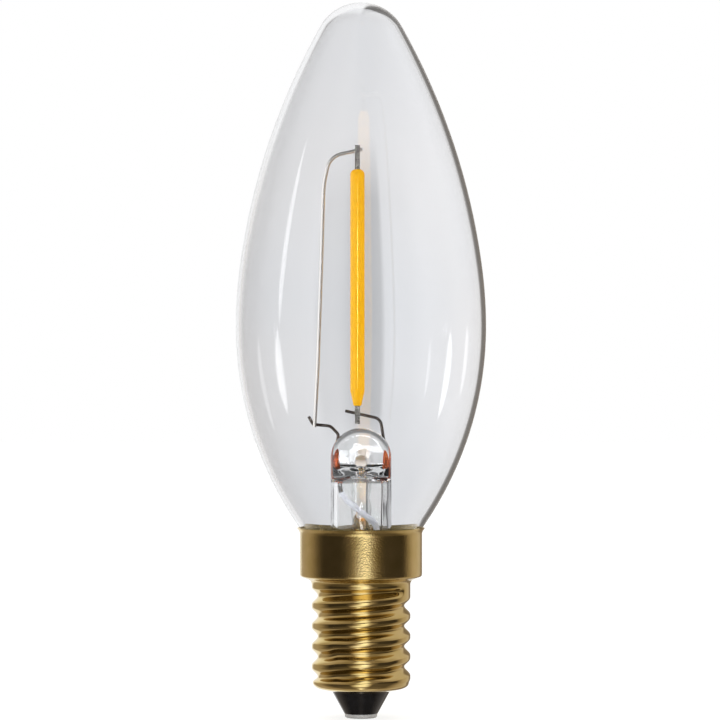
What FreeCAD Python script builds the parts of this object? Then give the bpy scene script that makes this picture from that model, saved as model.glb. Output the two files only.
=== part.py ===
import FreeCAD, Part
import math
import os

# A clear candle lamp with one LED filament and a small brass screw cap.
# Millimetres. The origin is the middle of the centre contact's lowest face, and +Z runs up the lamp's
# axis to the tip. The front of the lamp faces -Y, and both inner leads lie in the XZ plane.

V = FreeCAD.Vector
ORIGIN = V(0, 0, 0)
UP = V(0, 0, 1)

FIT_GAP = 0.05

# Brass cap: drawn sheet with a rolled thread and an inward lip below, and a wide collar above
SHEET = 0.25
THREAD_CREST_D = 13.74
THREAD_DEPTH = 0.84
THREAD_PITCH = 2.822
THREAD_LENGTH = 14.65
GROOVE_SHARE = 0.88
GROOVE_RUN_IN = 0.6
GROOVE_START_ANGLE = 332.0
GROOVE_START_FADE = 14.0
GROOVE_FOOT_RISE = 0.8
FIRST_VALLEY_DROP = 1.34
LIP_HOLE_D = 7.9
LIP_SLOPE = 13.0
LIP_CORNER_R = 1.3
BAND_H = 0.2
NECK_BEND_R = 0.8
SHOULDER_RISE = 0.65
SHOULDER_CORNER_R = 0.35
COLLAR_D = 17.0
COLLAR_H = 6.1
RIM_FLARE = 0.4
RIM_H = 0.55
RIM_BEND_R = 0.9

# Black glass insulator moulded round the lip, and the contact riveted through it
CONTACT_D = 4.5
CONTACT_T = 0.6
CONTACT_EDGE_R = 0.3
RIVET_D = 1.7
RIVET_HEAD_D = 2.6
RIVET_HEAD_T = 0.25
INSULATOR_FOOT_D = 4.66
INSULATOR_CONE_H = 3.05
INSULATOR_LIP_LAP = 0.07
INSULATOR_WALL = 2.4
DISH_D = 8.4
DISH_FLOOR_D = 5.6
DISH_DEPTH = 2.5

# Blown glass envelope, from the neck's end to the tip. It sits in the flared rim, a small gap inside it.
GLASS_WALL = 0.6
GLASS_NECK_L = 2.06
GLASS_NECK_BEND_R = 3.0
GLASS_L = 79.0
BULB_D = 34.8
LOWER_ARC_R = 48.7
BELLY_ARC_R = 62.0
FLANK_RISE = 7.7
GLASS_TIP_R = 6.5
RIM_GAP = 0.05

# Glass stem: flare, tube and the flattened press that seals the wires
STEM_D = 8.46
STEM_WALL = 0.75
STEM_H = 19.9
FLARE_BAND = 0.8
FLARE_H = 3.4
FLARE_BEND_R = 2.4
STEM_HOLLOW_H = 13.2
STEM_HOLLOW_BEND_R = 1.0
PRESS_T = 5.8
PRESS_BLEND_H = 1.8
PRESS_BLEND_DROP = 0.2
EXHAUST_D = 2.6
EXHAUST_BORE_D = 1.5
EXHAUST_HANG = 3.7
EXHAUST_HOLE_D = 1.7
EXHAUST_HOLE_RISE = 2.1

# Wires sealed in the press, and the leads above it
SEAL_D = 0.45
SEAL_INSET = 0.9
SEAL_FOOT_INSET = 0.45
SEAL_FOOT_DROP = 0.8
LEAD_D = 0.42
LEFT_STUB = 0.35
LEFT_STAND = 0.65
LEFT_REACH = 2.2
LEFT_WELD_X = -6.45
LEFT_WELD_RISE = 0.42
LEFT_TAIL = 1.1
RIGHT_STUB = 1.2
RIGHT_STAND = 0.2
RIGHT_ELBOW_X = 2.7
RIGHT_ELBOW_DROP = 0.7
RIGHT_TIP_X = -2.2
RIGHT_TIP_RISE = 0.4
LEAD_BEND_R = 1.2
TAIL_BEND_R = 0.4
LOWER_WELD_RISE = 1.9

# Return wire, from behind the upper terminal down to the front of the left lead
RETURN_D = 0.5
RETURN_TIP_X = 0.14
RETURN_SHOULDER_X = -4.35
RETURN_SHOULDER_DROP = 0.95
RETURN_SHOULDER_R = 2.6
RETURN_HIP_X = -5.2
RETURN_HIP_DROP = 5.0
RETURN_MIDDLE_X = -5.49
RETURN_MIDDLE_RISE = 23.0
RETURN_KNEE_X = -6.0
RETURN_KNEE_RISE = 8.0
RETURN_FOOT_TAIL = 0.35
RETURN_BOW_R = 60.0
RETURN_HIP_R = 15.0

# Outer leads, from the press down to the board
OUTER_LEAD_D = 0.4
OUTER_BEND_R = 1.0
LEAD_SLEEVE_D = 0.8
LEAD_SLEEVE_GAP = 0.5
LEAD_CLEARANCE = 0.15
LEAD_CROSS_GAP = 0.5
CROSS_KNEE_DROP = 0.9
CROSS_START_DROP = 2.4
CROSS_END_DROP = 5.6
PAD_KNEE_RISE = 1.8

# LED filament: a ceramic strip with chips, in a round phosphor coat
FILAMENT_X = -0.5
COAT_D = 2.04
COAT_L = 32.9
COAT_TAPER = 2.1
COAT_FOOT_D = 1.1
COAT_TOP_ROUND_R = 0.75
COAT_RISE = 1.1
STRIP_W = 0.8
STRIP_T = 0.4
STRIP_END_MARGIN = 1.9
LED_COUNT = 26
LED_W = 0.35
LED_L = 0.6
LED_T = 0.12
LED_END_MARGIN = 0.3
TERMINAL_W = 0.7
TERMINAL_T = 0.2
TERMINAL_LAP = 1.4
LOWER_TAIL = 1.4
UPPER_WELD_RISE = 2.72
UPPER_TAIL = 0.6

# Insulating sleeve, driver board and what it carries
SLEEVE_WALL = 0.25
SLEEVE_SETBACK = 1.5
BOARD_T = 0.8
BOARD_TOP_GAP = 1.5
RECTIFIER_SIZE = (3.9, 1.6, 3.9)
RECTIFIER_MARGIN = 1.15
RECTIFIER_RISE = 3.55
RECTIFIER_LEG_PITCH = 2.4
DRIVER_CHIP_SIZE = (2.5, 1.4, 4.4)
DRIVER_CHIP_MARGIN = 1.7
DRIVER_CHIP_RISE = 1.7
DRIVER_LEG_PITCH = 1.1
DRIVER_LEGS_A_SIDE = 4
FLAT_LEG_W = 0.4
FLAT_LEG_T = 0.25
FLAT_LEG_L = 0.6
RESISTOR_SIZE = (1.6, 0.5, 0.8)
RESISTOR_COUNT = 3
RESISTOR_PITCH = 1.8
RESISTOR_MARGIN = 0.4
RESISTOR_RISE = 1.7
CAPACITOR_D = 4.0
CAPACITOR_TOP_GAP = 0.15
CAPACITOR_MARGIN = 1.7
CAPACITOR_RISE = 1.6
CAPACITOR_LEG_PITCH = 1.5
FUSE_D = 1.8
FUSE_L = 4.8
FUSE_MARGIN = 0.6
FUSE_RISE = 2.3
WIRE_LEG_D = 0.45
WIRE_LEG_STUB = 0.4
LOW_HOLE_RISE = 0.7
HIGH_HOLE_DROP = 0.8
PAD_DROP = 1.4
LEAD_PAD_MARGIN = 3.0
SHELL_PAD_MARGIN = 1.2
SOLDER_D = 1.1
HOOKUP_D = 0.5
HOOKUP_BEND_R = 0.5
CONTACT_WIRE_RISE = 0.9
CONTACT_WIRE_DROP = 1.3
SHELL_WIRE_ANGLE = -10.0
SHELL_WIRE_GAP = 0.3
SHELL_WIRE_WELD = 0.9

# Basing cement between the glass neck and the collar
CEMENT_W = 1.85
CEMENT_TOP_DROP = 1.9

# Cap radii and heights that follow from the sizes above
CREST_R = THREAD_CREST_D / 2
COLLAR_R = COLLAR_D / 2
HOLE_R = LIP_HOLE_D / 2
SLOPE = math.radians(LIP_SLOPE)
LIP_TURN = math.pi / 2 - SLOPE
LIP_Z = CONTACT_T + INSULATOR_CONE_H
THREAD_TOP_Z = LIP_Z + THREAD_LENGTH
JOIN_Z = THREAD_TOP_Z + BAND_H / 2
FIRST_VALLEY_Z = THREAD_TOP_Z - FIRST_VALLEY_DROP
NECK_TURN = math.atan2(COLLAR_R - CREST_R, SHOULDER_RISE)
SHOULDER_Z = THREAD_TOP_Z + BAND_H + NECK_BEND_R * math.tan(NECK_TURN / 2)
COLLAR_FOOT_Z = SHOULDER_Z + SHOULDER_RISE
RIM_CORNER_Z = COLLAR_FOOT_Z + COLLAR_H
RIM_Z = RIM_CORNER_Z + RIM_H
RIM_SLANT = math.hypot(RIM_FLARE, RIM_H)
RIM_EDGE_R = COLLAR_R + RIM_FLARE - SHEET * RIM_H / RIM_SLANT
RIM_EDGE_Z = RIM_Z + SHEET * RIM_FLARE / RIM_SLANT
DISH_FLOOR_Z = CONTACT_T + INSULATOR_WALL
HEAD_TOP_Z = DISH_FLOOR_Z + RIVET_HEAD_T
INSULATOR_TOP_Z = DISH_FLOOR_Z + DISH_DEPTH

# Glass radii and heights
NECK_R = COLLAR_R - SHEET - CEMENT_W
BULB_R = BULB_D / 2
STEM_R = STEM_D / 2
BORE_R = STEM_R - STEM_WALL
EXHAUST_R = EXHAUST_D / 2
EXHAUST_BORE_R = EXHAUST_BORE_D / 2
LOWER_CENTRE_R = BULB_R - LOWER_ARC_R
BELLY_Z = RIM_EDGE_Z + math.sqrt(LOWER_ARC_R ** 2 - (RIM_EDGE_R - RIM_GAP - LOWER_CENTRE_R) ** 2)
BEND_CENTRE_R = NECK_R + GLASS_NECK_BEND_R
BEND_REACH = LOWER_ARC_R + GLASS_NECK_BEND_R
BEND_Z = BELLY_Z - math.sqrt(BEND_REACH ** 2 - (BEND_CENTRE_R - LOWER_CENTRE_R) ** 2)
GLASS_END_Z = BEND_Z - GLASS_NECK_L
NECK_END_Z = GLASS_END_Z + FLARE_BAND
EXHAUST_TIP_Z = GLASS_END_Z - EXHAUST_HANG
TIP_Z = GLASS_END_Z + GLASS_L
STEM_TOP_Z = GLASS_END_Z + STEM_H
DOME_Z = STEM_TOP_Z - STEM_R
HOLLOW_TOP_Z = GLASS_END_Z + STEM_HOLLOW_H

# Where the wires leave the press, and the welds and filament above it
SEAL_X = STEM_R - SEAL_INSET
SEAL_FOOT_X = BORE_R - SEAL_FOOT_INSET
SEAL_FOOT_Z = HOLLOW_TOP_Z - SEAL_FOOT_DROP
SEAL_EXIT_Z = DOME_Z + math.sqrt(STEM_R ** 2 - SEAL_X ** 2)
LEFT_WELD_Z = STEM_TOP_Z + LEFT_WELD_RISE
LOWER_WELD_Z = STEM_TOP_Z + LOWER_WELD_RISE
COAT_FOOT_Z = LOWER_WELD_Z + COAT_RISE
COAT_TOP_Z = COAT_FOOT_Z + COAT_L
UPPER_WELD_Z = COAT_TOP_Z + UPPER_WELD_RISE
LEAD_FRONT_Y = -LEAD_D / 2
STRIP_Y = LEAD_FRONT_Y + STRIP_T / 2
STRIP_FOOT_Z = COAT_FOOT_Z + STRIP_END_MARGIN
STRIP_TOP_Z = COAT_TOP_Z - STRIP_END_MARGIN

# The sleeve stands in the thread, and the board stands on the insulator and spans the sleeve
SLEEVE_R = CREST_R - THREAD_DEPTH - SHEET - FIT_GAP
SLEEVE_BORE_R = SLEEVE_R - SLEEVE_WALL
SLEEVE_TOP_Z = THREAD_TOP_Z - SLEEVE_SETBACK
BOARD_HALF_W = math.sqrt((SLEEVE_BORE_R - FIT_GAP) ** 2 - (BOARD_T / 2) ** 2)
BOARD_Z = INSULATOR_TOP_Z
BOARD_TOP_Z = EXHAUST_TIP_Z - BOARD_TOP_GAP
BOARD_H = BOARD_TOP_Z - BOARD_Z
FRONT_Y = -BOARD_T / 2
BACK_Y = BOARD_T / 2
PAD_Z = BOARD_TOP_Z - PAD_DROP
LEAD_PAD_X = BOARD_HALF_W - LEAD_PAD_MARGIN
SHELL_PAD_X = BOARD_HALF_W - SHELL_PAD_MARGIN
LOW_HOLE_Z = BOARD_Z + LOW_HOLE_RISE
HIGH_HOLE_Z = BOARD_TOP_Z - HIGH_HOLE_DROP
RECTIFIER_X = RECTIFIER_MARGIN + RECTIFIER_SIZE[0] / 2 - BOARD_HALF_W
RECTIFIER_Z = BOARD_Z + RECTIFIER_RISE
DRIVER_CHIP_X = BOARD_HALF_W - DRIVER_CHIP_MARGIN - DRIVER_CHIP_SIZE[0] / 2
DRIVER_CHIP_Z = BOARD_Z + DRIVER_CHIP_RISE
CAPACITOR_X = BOARD_HALF_W - CAPACITOR_MARGIN - CAPACITOR_D / 2
CAPACITOR_Y = BACK_Y + FIT_GAP + CAPACITOR_D / 2
CAPACITOR_Z = BOARD_Z + CAPACITOR_RISE
CAPACITOR_L = PAD_Z - SOLDER_D / 2 - CAPACITOR_TOP_GAP - CAPACITOR_Z
CAPACITOR_LEGS_X = [CAPACITOR_X - CAPACITOR_LEG_PITCH / 2, CAPACITOR_X + CAPACITOR_LEG_PITCH / 2]
FUSE_X = FUSE_MARGIN + FUSE_D / 2 - BOARD_HALF_W
FUSE_Y = BACK_Y + FIT_GAP + FUSE_D / 2
FUSE_Z = BOARD_Z + FUSE_RISE


# Shapes from outlines and routes


def bent_edges(points, bends):
    """Straight runs through the points, with an arc of the given radius at each inner one. 0 is a corner."""
    edges = []
    last = points[0]
    for before, corner, after, radius in zip(points, points[1:], points[2:], bends):
        to_before = (before - corner).normalize()
        to_after = (after - corner).normalize()
        half = to_before.getAngle(to_after) / 2
        start = corner + to_before * (radius / math.tan(half))
        end = corner + to_after * (radius / math.tan(half))
        if (start - last).Length > 1e-6:
            edges.append(Part.LineSegment(last, start).toShape())
        if radius > 0:
            middle = corner + (to_before + to_after).normalize() * (radius / math.sin(half) - radius)
            edges.append(Part.Arc(start, middle, end).toShape())
        last = end
    edges.append(Part.LineSegment(last, points[-1]).toShape())
    return edges


def turned(edges):
    """A solid of revolution from a closed outline in the XZ plane."""
    face = Part.Face(Part.Wire(Part.__sortEdges__(edges)))
    return face.revolve(ORIGIN, UP, 360)


def lathe(outline):
    """A solid of revolution from (r, z) corners. A third number rounds its corner by that radius."""
    points = [V(corner[0], 0, corner[1]) for corner in outline]
    bends = [corner[2] if len(corner) > 2 else 0 for corner in outline]
    edges = bent_edges(points, bends[1:-1])
    edges.append(Part.LineSegment(points[-1], points[0]).toShape())
    return turned(edges)


def rod(route, diameter, bends):
    """Round wire along (x, y, z) points, with one bend radius for each inner point."""
    points = [V(*point) for point in route]
    path = Part.Wire(bent_edges(points, bends))
    start = (points[1] - points[0]).normalize()
    section = Part.Wire(Part.makeCircle(diameter / 2, points[0], start))
    return path.makePipeShell([section], True, False)


def block(size, centre):
    """A box from its (x, y, z) size and its centre."""
    corner = [c - s / 2 for s, c in zip(size, centre)]
    return Part.makeBox(*size, V(*corner))


def on_board(size, x, foot_z):
    """A box that lies on the board's front face."""
    return block(size, (x, FRONT_Y - size[1] / 2, foot_z + size[2] / 2))


def arc_edge(centre, radius, start, end):
    """An arc in the XZ plane, between two angles from +X towards +Z."""
    points = []
    for angle in (start, (start + end) / 2, end):
        points.append(V(centre[0] + radius * math.cos(angle), 0, centre[1] + radius * math.sin(angle)))
    return Part.Arc(*points).toShape()


def line_edge(r0, z0, r1, z1):
    """A straight line in the XZ plane."""
    return Part.LineSegment(V(r0, 0, z0), V(r1, 0, z1)).toShape()


# Brass cap


def shell_line(run):
    """A point of the cap's outline below the join and its inward normal, a run of sheet from the join."""
    corner_z = LIP_Z + (CREST_R - HOLE_R) * math.tan(SLOPE)
    straight = JOIN_Z - corner_z - LIP_CORNER_R * math.tan(LIP_TURN / 2)
    turn = min(max(run - straight, 0) / LIP_CORNER_R, LIP_TURN)
    past = max(run - straight - LIP_CORNER_R * LIP_TURN, 0)
    r = CREST_R - LIP_CORNER_R * (1 - math.cos(turn)) - past * math.sin(LIP_TURN)
    z = JOIN_Z - min(run, straight) - LIP_CORNER_R * math.sin(turn) - past * math.cos(LIP_TURN)
    return r, z, -math.cos(turn), math.sin(turn)


def shell_length():
    """Length of that outline, from the join to the edge of the hole in the lip."""
    corner_z = LIP_Z + (CREST_R - HOLE_R) * math.tan(SLOPE)
    cut_back = LIP_CORNER_R * math.tan(LIP_TURN / 2)
    lip = (CREST_R - HOLE_R) / math.cos(SLOPE)
    return JOIN_Z - corner_z + lip - 2 * cut_back + LIP_CORNER_R * LIP_TURN


def eased(share):
    """Rises smoothly from 0 to 1."""
    share = min(max(share, 0), 1)
    return share * share * (3 - 2 * share)


def groove_depth(angle, z):
    """Depth of the rolled right-hand thread at an angle in degrees and a height."""
    turns = (z - FIRST_VALLEY_Z) / THREAD_PITCH - (angle - 180) / 360
    offset = 2 * abs(turns - round(turns)) / GROOVE_SHARE
    if round(turns) > 0 or offset >= 1:
        return 0
    depth = THREAD_DEPTH * (1 + math.cos(math.pi * offset)) / 2
    if round(turns) == 0:
        depth *= eased((GROOVE_START_ANGLE - angle) / GROOVE_START_FADE)
    depth *= eased((THREAD_TOP_Z - z) / GROOVE_RUN_IN)
    return depth * eased((z - LIP_Z - GROOVE_FOOT_RISE) / LIP_CORNER_R)


def threaded_face(inset):
    """The threaded wall and lip as one closed spline surface, set in from the outside by inset."""
    around = 48
    spans = 60
    step = shell_length() / spans
    stations = [0, 1 / 3] + list(range(1, spans)) + [spans - 1 / 3, spans]
    # A cubic spline runs inside its control points by these shares, round the axis and across the groove.
    ring_share = (2 + math.cos(2 * math.pi / around)) / 3
    wave_share = (2 + math.cos(2 * math.pi * step / (THREAD_PITCH * GROOVE_SHARE))) / 3
    poles = []
    for i in range(around):
        angle = (i - 1) / around * 2 * math.pi
        row = []
        for station in stations:
            r, z, inward_r, inward_z = shell_line(station * step)
            depth = inset + groove_depth(math.degrees(angle) % 360, z) / wave_share
            radius = (r + inward_r * depth) / ring_share
            row.append(V(radius * math.cos(angle), radius * math.sin(angle), z + inward_z * depth))
        poles.append(row)
    around_mults = [1] * (around + 1)
    down_mults = [4] + [1] * (spans - 1) + [4]
    around_knots = list(range(around + 1))
    down_knots = list(range(spans + 1))
    surface = Part.BSplineSurface()
    surface.buildFromPolesMultsKnots(
        poles, around_mults, down_mults, around_knots, down_knots, True, False, 3, 3
    )
    return surface.toShape()


def thread_wall():
    """The threaded part of the cap, from the lip's edge up to the join."""
    walls = [threaded_face(0), threaded_face(SHEET)]
    feet = []
    tops = []
    for wall in walls:
        rings = [edge for edge in wall.Edges if edge.isClosed()]
        foot, top = sorted(rings, key=lambda ring: ring.BoundBox.ZMin)
        feet.append(foot)
        tops.append(Part.Wire(top))
    lip_edge = Part.makeRuledSurface(*feet)
    join = Part.makeFace(tops, "Part::FaceMakerBullseye")
    return Part.Solid(Part.Shell(walls + [join, lip_edge]))


def collar_outline(inset):
    """Corners and bends of the collar from the join up to the rim, set in by inset."""
    corners = [(CREST_R, JOIN_Z), (CREST_R, SHOULDER_Z), (COLLAR_R, COLLAR_FOOT_Z)]
    corners += [(COLLAR_R, RIM_CORNER_Z), (COLLAR_R + RIM_FLARE, RIM_Z)]
    ways = []
    for (r0, z0), (r1, z1) in zip(corners, corners[1:]):
        ways.append(V(r1 - r0, 0, z1 - z0).normalize())
    points = []
    for i, (r, z) in enumerate(corners):
        way = ways[max(i - 1, 0)] + ways[min(i, len(ways) - 1)]
        inward = V(-way.z, 0, way.x)
        points.append(V(r, 0, z) + inward * (2 * inset / way.Length ** 2))
    return points, [NECK_BEND_R + inset, SHOULDER_CORNER_R - inset, RIM_BEND_R + inset]


def collar():
    """The plain part of the cap: band, shoulder, collar and flared rim."""
    outer, outer_bends = collar_outline(0)
    inner, inner_bends = collar_outline(SHEET)
    edges = bent_edges(outer, outer_bends) + bent_edges(inner, inner_bends)
    edges.append(Part.LineSegment(outer[0], inner[0]).toShape())
    edges.append(Part.LineSegment(outer[-1], inner[-1]).toShape())
    return turned(edges)


def cap_shell():
    return thread_wall().fuse([collar()], 1e-4)


def cap_insulator():
    edge_r = HOLE_R - SHEET * math.sin(SLOPE)
    edge_z = LIP_Z + SHEET * math.cos(SLOPE)
    outline = [
        (RIVET_D / 2, CONTACT_T),
        (INSULATOR_FOOT_D / 2, CONTACT_T),
        (HOLE_R + INSULATOR_LIP_LAP, LIP_Z + INSULATOR_LIP_LAP * math.tan(SLOPE)),
        (HOLE_R, LIP_Z),
        (edge_r, edge_z),
        (SLEEVE_R, edge_z + (SLEEVE_R - edge_r) * math.tan(SLOPE)),
        (SLEEVE_R, INSULATOR_TOP_Z),
        (DISH_D / 2, INSULATOR_TOP_Z),
        (DISH_FLOOR_D / 2, DISH_FLOOR_Z),
        (RIVET_D / 2, DISH_FLOOR_Z),
    ]
    return lathe(outline)


def centre_contact():
    outline = [
        (0, 0),
        (CONTACT_D / 2, 0, CONTACT_EDGE_R),
        (CONTACT_D / 2, CONTACT_T),
        (RIVET_D / 2, CONTACT_T),
        (RIVET_D / 2, DISH_FLOOR_Z),
        (RIVET_HEAD_D / 2, DISH_FLOOR_Z),
        (RIVET_HEAD_D / 2, HEAD_TOP_Z),
        (0, HEAD_TOP_Z),
    ]
    return lathe(outline)


# Glass


def envelope_line(inset):
    """The blown outline from the neck's end to the tip, set in by inset: a chain of tangent arcs.

    The flank's radius is the one that makes it tangent to both the belly and the round tip.
    """
    lower = (LOWER_CENTRE_R, BELLY_Z)
    belly = (BULB_R - BELLY_ARC_R, BELLY_Z)
    bend = (BEND_CENTRE_R, BEND_Z)
    tip = (0, TIP_Z - GLASS_TIP_R)
    leave = math.atan2(bend[1] - lower[1], bend[0] - lower[0])
    lean = math.asin(FLANK_RISE / BELLY_ARC_R)
    out = (math.cos(lean), math.sin(lean))
    side = (belly[0] + BELLY_ARC_R * out[0] - tip[0], belly[1] + BELLY_ARC_R * out[1] - tip[1])
    spare = side[0] ** 2 + side[1] ** 2 - GLASS_TIP_R ** 2
    flank_r = spare / (2 * (side[0] * out[0] + side[1] * out[1] - GLASS_TIP_R))
    back = flank_r - BELLY_ARC_R
    flank = (belly[0] - back * out[0], belly[1] - back * out[1])
    meet = math.atan2(tip[1] - flank[1], tip[0] - flank[0])
    return [
        line_edge(NECK_R - inset, NECK_END_Z, NECK_R - inset, bend[1]),
        arc_edge(bend, GLASS_NECK_BEND_R + inset, math.pi, math.pi + leave),
        arc_edge(lower, LOWER_ARC_R - inset, leave, 0),
        arc_edge(belly, BELLY_ARC_R - inset, 0, lean),
        arc_edge(flank, flank_r - inset, lean, meet),
        arc_edge(tip, GLASS_TIP_R - inset, meet, math.pi / 2),
    ]


def glass_bulb():
    foot = line_edge(NECK_R - GLASS_WALL, NECK_END_Z, NECK_R, NECK_END_Z)
    top = line_edge(0, TIP_Z - GLASS_WALL, 0, TIP_Z)
    return turned(envelope_line(0) + envelope_line(GLASS_WALL) + [foot, top])


def basing_cement():
    """A ring of cement that fills the collar round the glass neck."""
    foot = line_edge(0, NECK_END_Z, NECK_R, NECK_END_Z)
    axis = line_edge(0, NECK_END_Z, 0, TIP_Z)
    full_glass = turned(envelope_line(0) + [foot, axis])
    top_z = RIM_CORNER_Z - CEMENT_TOP_DROP
    bore_r = COLLAR_R - SHEET
    ring = lathe([(NECK_R, GLASS_END_Z), (bore_r, GLASS_END_Z), (bore_r, top_z), (NECK_R, top_z)])
    return ring.cut(full_glass)


def press_side(side):
    """What the pinching jaw leaves empty, in front (-1) or behind (1)."""
    far = 2 * STEM_R
    blend_z = HOLLOW_TOP_Z - PRESS_BLEND_DROP
    corners = [(STEM_R, blend_z), (PRESS_T / 2, blend_z + PRESS_BLEND_H)]
    corners += [(PRESS_T / 2, STEM_TOP_Z + far), (far, STEM_TOP_Z + far), (far, blend_z)]
    points = [V(-far, side * y, z) for y, z in corners]
    face = Part.Face(Part.makePolygon(points + points[:1]))
    return face.extrude(V(2 * far, 0, 0))


def exhaust_bore():
    """The bore in the press, and the hole that was blown through its front."""
    hole_z = HOLLOW_TOP_Z + EXHAUST_HOLE_RISE
    hole_r = EXHAUST_HOLE_D / 2
    bore = Part.makeCylinder(EXHAUST_BORE_R, EXHAUST_HOLE_RISE, V(0, 0, HOLLOW_TOP_Z))
    knee = Part.makeSphere(hole_r, V(0, 0, hole_z))
    hole = Part.makeCylinder(hole_r, STEM_R, V(0, 0, hole_z), V(0, -1, 0))
    return bore.fuse([knee, hole])


def stem_glass(sealed):
    """Flare, tube and press in one, with the exhaust bore and the wires sealed in it."""
    bend_z = NECK_END_Z + FLARE_H
    body = lathe(
        [
            (0, GLASS_END_Z),
            (NECK_R, GLASS_END_Z),
            (NECK_R, NECK_END_Z),
            (NECK_R - GLASS_WALL, NECK_END_Z),
            (STEM_R, bend_z, FLARE_BEND_R),
            (STEM_R, DOME_Z),
            (0, DOME_Z),
        ]
    )
    hollow = lathe(
        [
            (0, GLASS_END_Z),
            (NECK_R - STEM_WALL, GLASS_END_Z),
            (BORE_R, bend_z, FLARE_BEND_R + STEM_WALL),
            (BORE_R, HOLLOW_TOP_Z, STEM_HOLLOW_BEND_R),
            (0, HOLLOW_TOP_Z),
        ]
    )
    dome = Part.makeSphere(STEM_R, V(0, 0, DOME_Z))
    return body.fuse(dome).cut([hollow, press_side(1), press_side(-1), exhaust_bore()] + sealed)


def exhaust_tube():
    """Hangs from the press, and was melted shut at its lower end."""
    bore_z = EXHAUST_TIP_Z + EXHAUST_D - EXHAUST_BORE_D
    outer = [(0, EXHAUST_TIP_Z), (EXHAUST_R, EXHAUST_TIP_Z + EXHAUST_D, EXHAUST_D)]
    outer += [(EXHAUST_R, HOLLOW_TOP_Z), (0, HOLLOW_TOP_Z)]
    bore = [(0, bore_z), (EXHAUST_BORE_R, bore_z + EXHAUST_BORE_D, EXHAUST_BORE_D)]
    bore += [(EXHAUST_BORE_R, HOLLOW_TOP_Z), (0, HOLLOW_TOP_Z)]
    return lathe(outer).cut(lathe(bore))


# Wires


def seal_wire(side, top_z):
    return rod([(side * SEAL_FOOT_X, 0, SEAL_FOOT_Z), (side * SEAL_X, 0, top_z)], SEAL_D, [])


def left_inner_lead(start_z):
    route = [
        (-SEAL_X, 0, start_z),
        (-SEAL_X + LEAD_D / 2, 0, SEAL_EXIT_Z + LEFT_STAND),
        (LEFT_WELD_X + LEFT_REACH, 0, LEFT_WELD_Z - LEAD_D / 2),
        (LEFT_WELD_X - LEAD_D / 2, 0, LEFT_WELD_Z),
        (LEFT_WELD_X - 2 * LEAD_D, 0, LEFT_WELD_Z + LEFT_TAIL),
    ]
    return rod(route, LEAD_D, [LEAD_BEND_R / 2, LEAD_BEND_R, TAIL_BEND_R])


def right_inner_lead(start_z):
    route = [
        (SEAL_X, 0, start_z),
        (SEAL_X - LEAD_D / 2, 0, SEAL_EXIT_Z + RIGHT_STAND),
        (RIGHT_ELBOW_X, 0, LOWER_WELD_Z - RIGHT_ELBOW_DROP),
        (RIGHT_TIP_X, 0, LOWER_WELD_Z + RIGHT_TIP_RISE),
    ]
    return rod(route, LEAD_D, [LEAD_BEND_R, LEAD_BEND_R])


def return_wire():
    foot_y = LEAD_FRONT_Y - RETURN_D / 2
    top_y = LEAD_FRONT_Y + RETURN_D / 2
    route = [
        (RETURN_TIP_X, top_y, UPPER_WELD_Z),
        (RETURN_SHOULDER_X, top_y, UPPER_WELD_Z - RETURN_SHOULDER_DROP),
        (RETURN_HIP_X, top_y, UPPER_WELD_Z - RETURN_HIP_DROP),
        (RETURN_MIDDLE_X, (top_y + foot_y) / 2, LEFT_WELD_Z + RETURN_MIDDLE_RISE),
        (RETURN_KNEE_X, foot_y, LEFT_WELD_Z + RETURN_KNEE_RISE),
        (LEFT_WELD_X, foot_y, LEFT_WELD_Z - RETURN_FOOT_TAIL),
    ]
    return rod(route, RETURN_D, [RETURN_SHOULDER_R, RETURN_HIP_R, RETURN_BOW_R, RETURN_BOW_R])


def left_outer_route():
    """From the left seal wire, across in front of the exhaust tube, to the board's front."""
    cross_y = -EXHAUST_R - LEAD_CROSS_GAP - LEAD_SLEEVE_D / 2
    reach = BORE_R - LEAD_SLEEVE_D / 2 - LEAD_CLEARANCE
    cross_x = math.sqrt(reach ** 2 - cross_y ** 2)
    pad_y = FRONT_Y - OUTER_LEAD_D / 2
    return [
        (-SEAL_FOOT_X, 0, SEAL_FOOT_Z),
        (-SEAL_FOOT_X, 0, SEAL_FOOT_Z - CROSS_KNEE_DROP),
        (-cross_x, cross_y, SEAL_FOOT_Z - CROSS_START_DROP),
        (cross_x, cross_y, SEAL_FOOT_Z - CROSS_END_DROP),
        (LEAD_PAD_X, pad_y, BOARD_TOP_Z + PAD_KNEE_RISE),
        (LEAD_PAD_X, pad_y, PAD_Z),
    ]


def left_outer_lead():
    return rod(left_outer_route(), OUTER_LEAD_D, [OUTER_BEND_R] * 4)


def right_outer_lead():
    pad_y = BACK_Y + OUTER_LEAD_D / 2
    route = [
        (SEAL_FOOT_X, 0, SEAL_FOOT_Z),
        (SEAL_FOOT_X, 0, SEAL_FOOT_Z - CROSS_START_DROP),
        (LEAD_PAD_X, pad_y, BOARD_TOP_Z + PAD_KNEE_RISE),
        (LEAD_PAD_X, pad_y, PAD_Z),
    ]
    return rod(route, OUTER_LEAD_D, [OUTER_BEND_R] * 2)


def lead_sleeve():
    """Keeps the left outer lead off the exhaust tube and off the other lead."""
    start, knee, near, far, bend, pad = left_outer_route()
    first = V(*near) + (V(*knee) - V(*near)) / 2
    last = (*bend[:2], BOARD_TOP_Z + LEAD_SLEEVE_GAP)
    sleeve = rod([tuple(first), near, far, bend, last], LEAD_SLEEVE_D, [OUTER_BEND_R] * 3)
    return sleeve.cut(left_outer_lead())


# LED filament


def terminal(foot_z, top_z):
    centre = (FILAMENT_X, LEAD_FRONT_Y - TERMINAL_T / 2, (foot_z + top_z) / 2)
    return block((TERMINAL_W, TERMINAL_T, top_z - foot_z), centre)


def filament_strip():
    length = STRIP_TOP_Z - STRIP_FOOT_Z
    return block((STRIP_W, STRIP_T, length), (FILAMENT_X, STRIP_Y, STRIP_FOOT_Z + length / 2))


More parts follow.
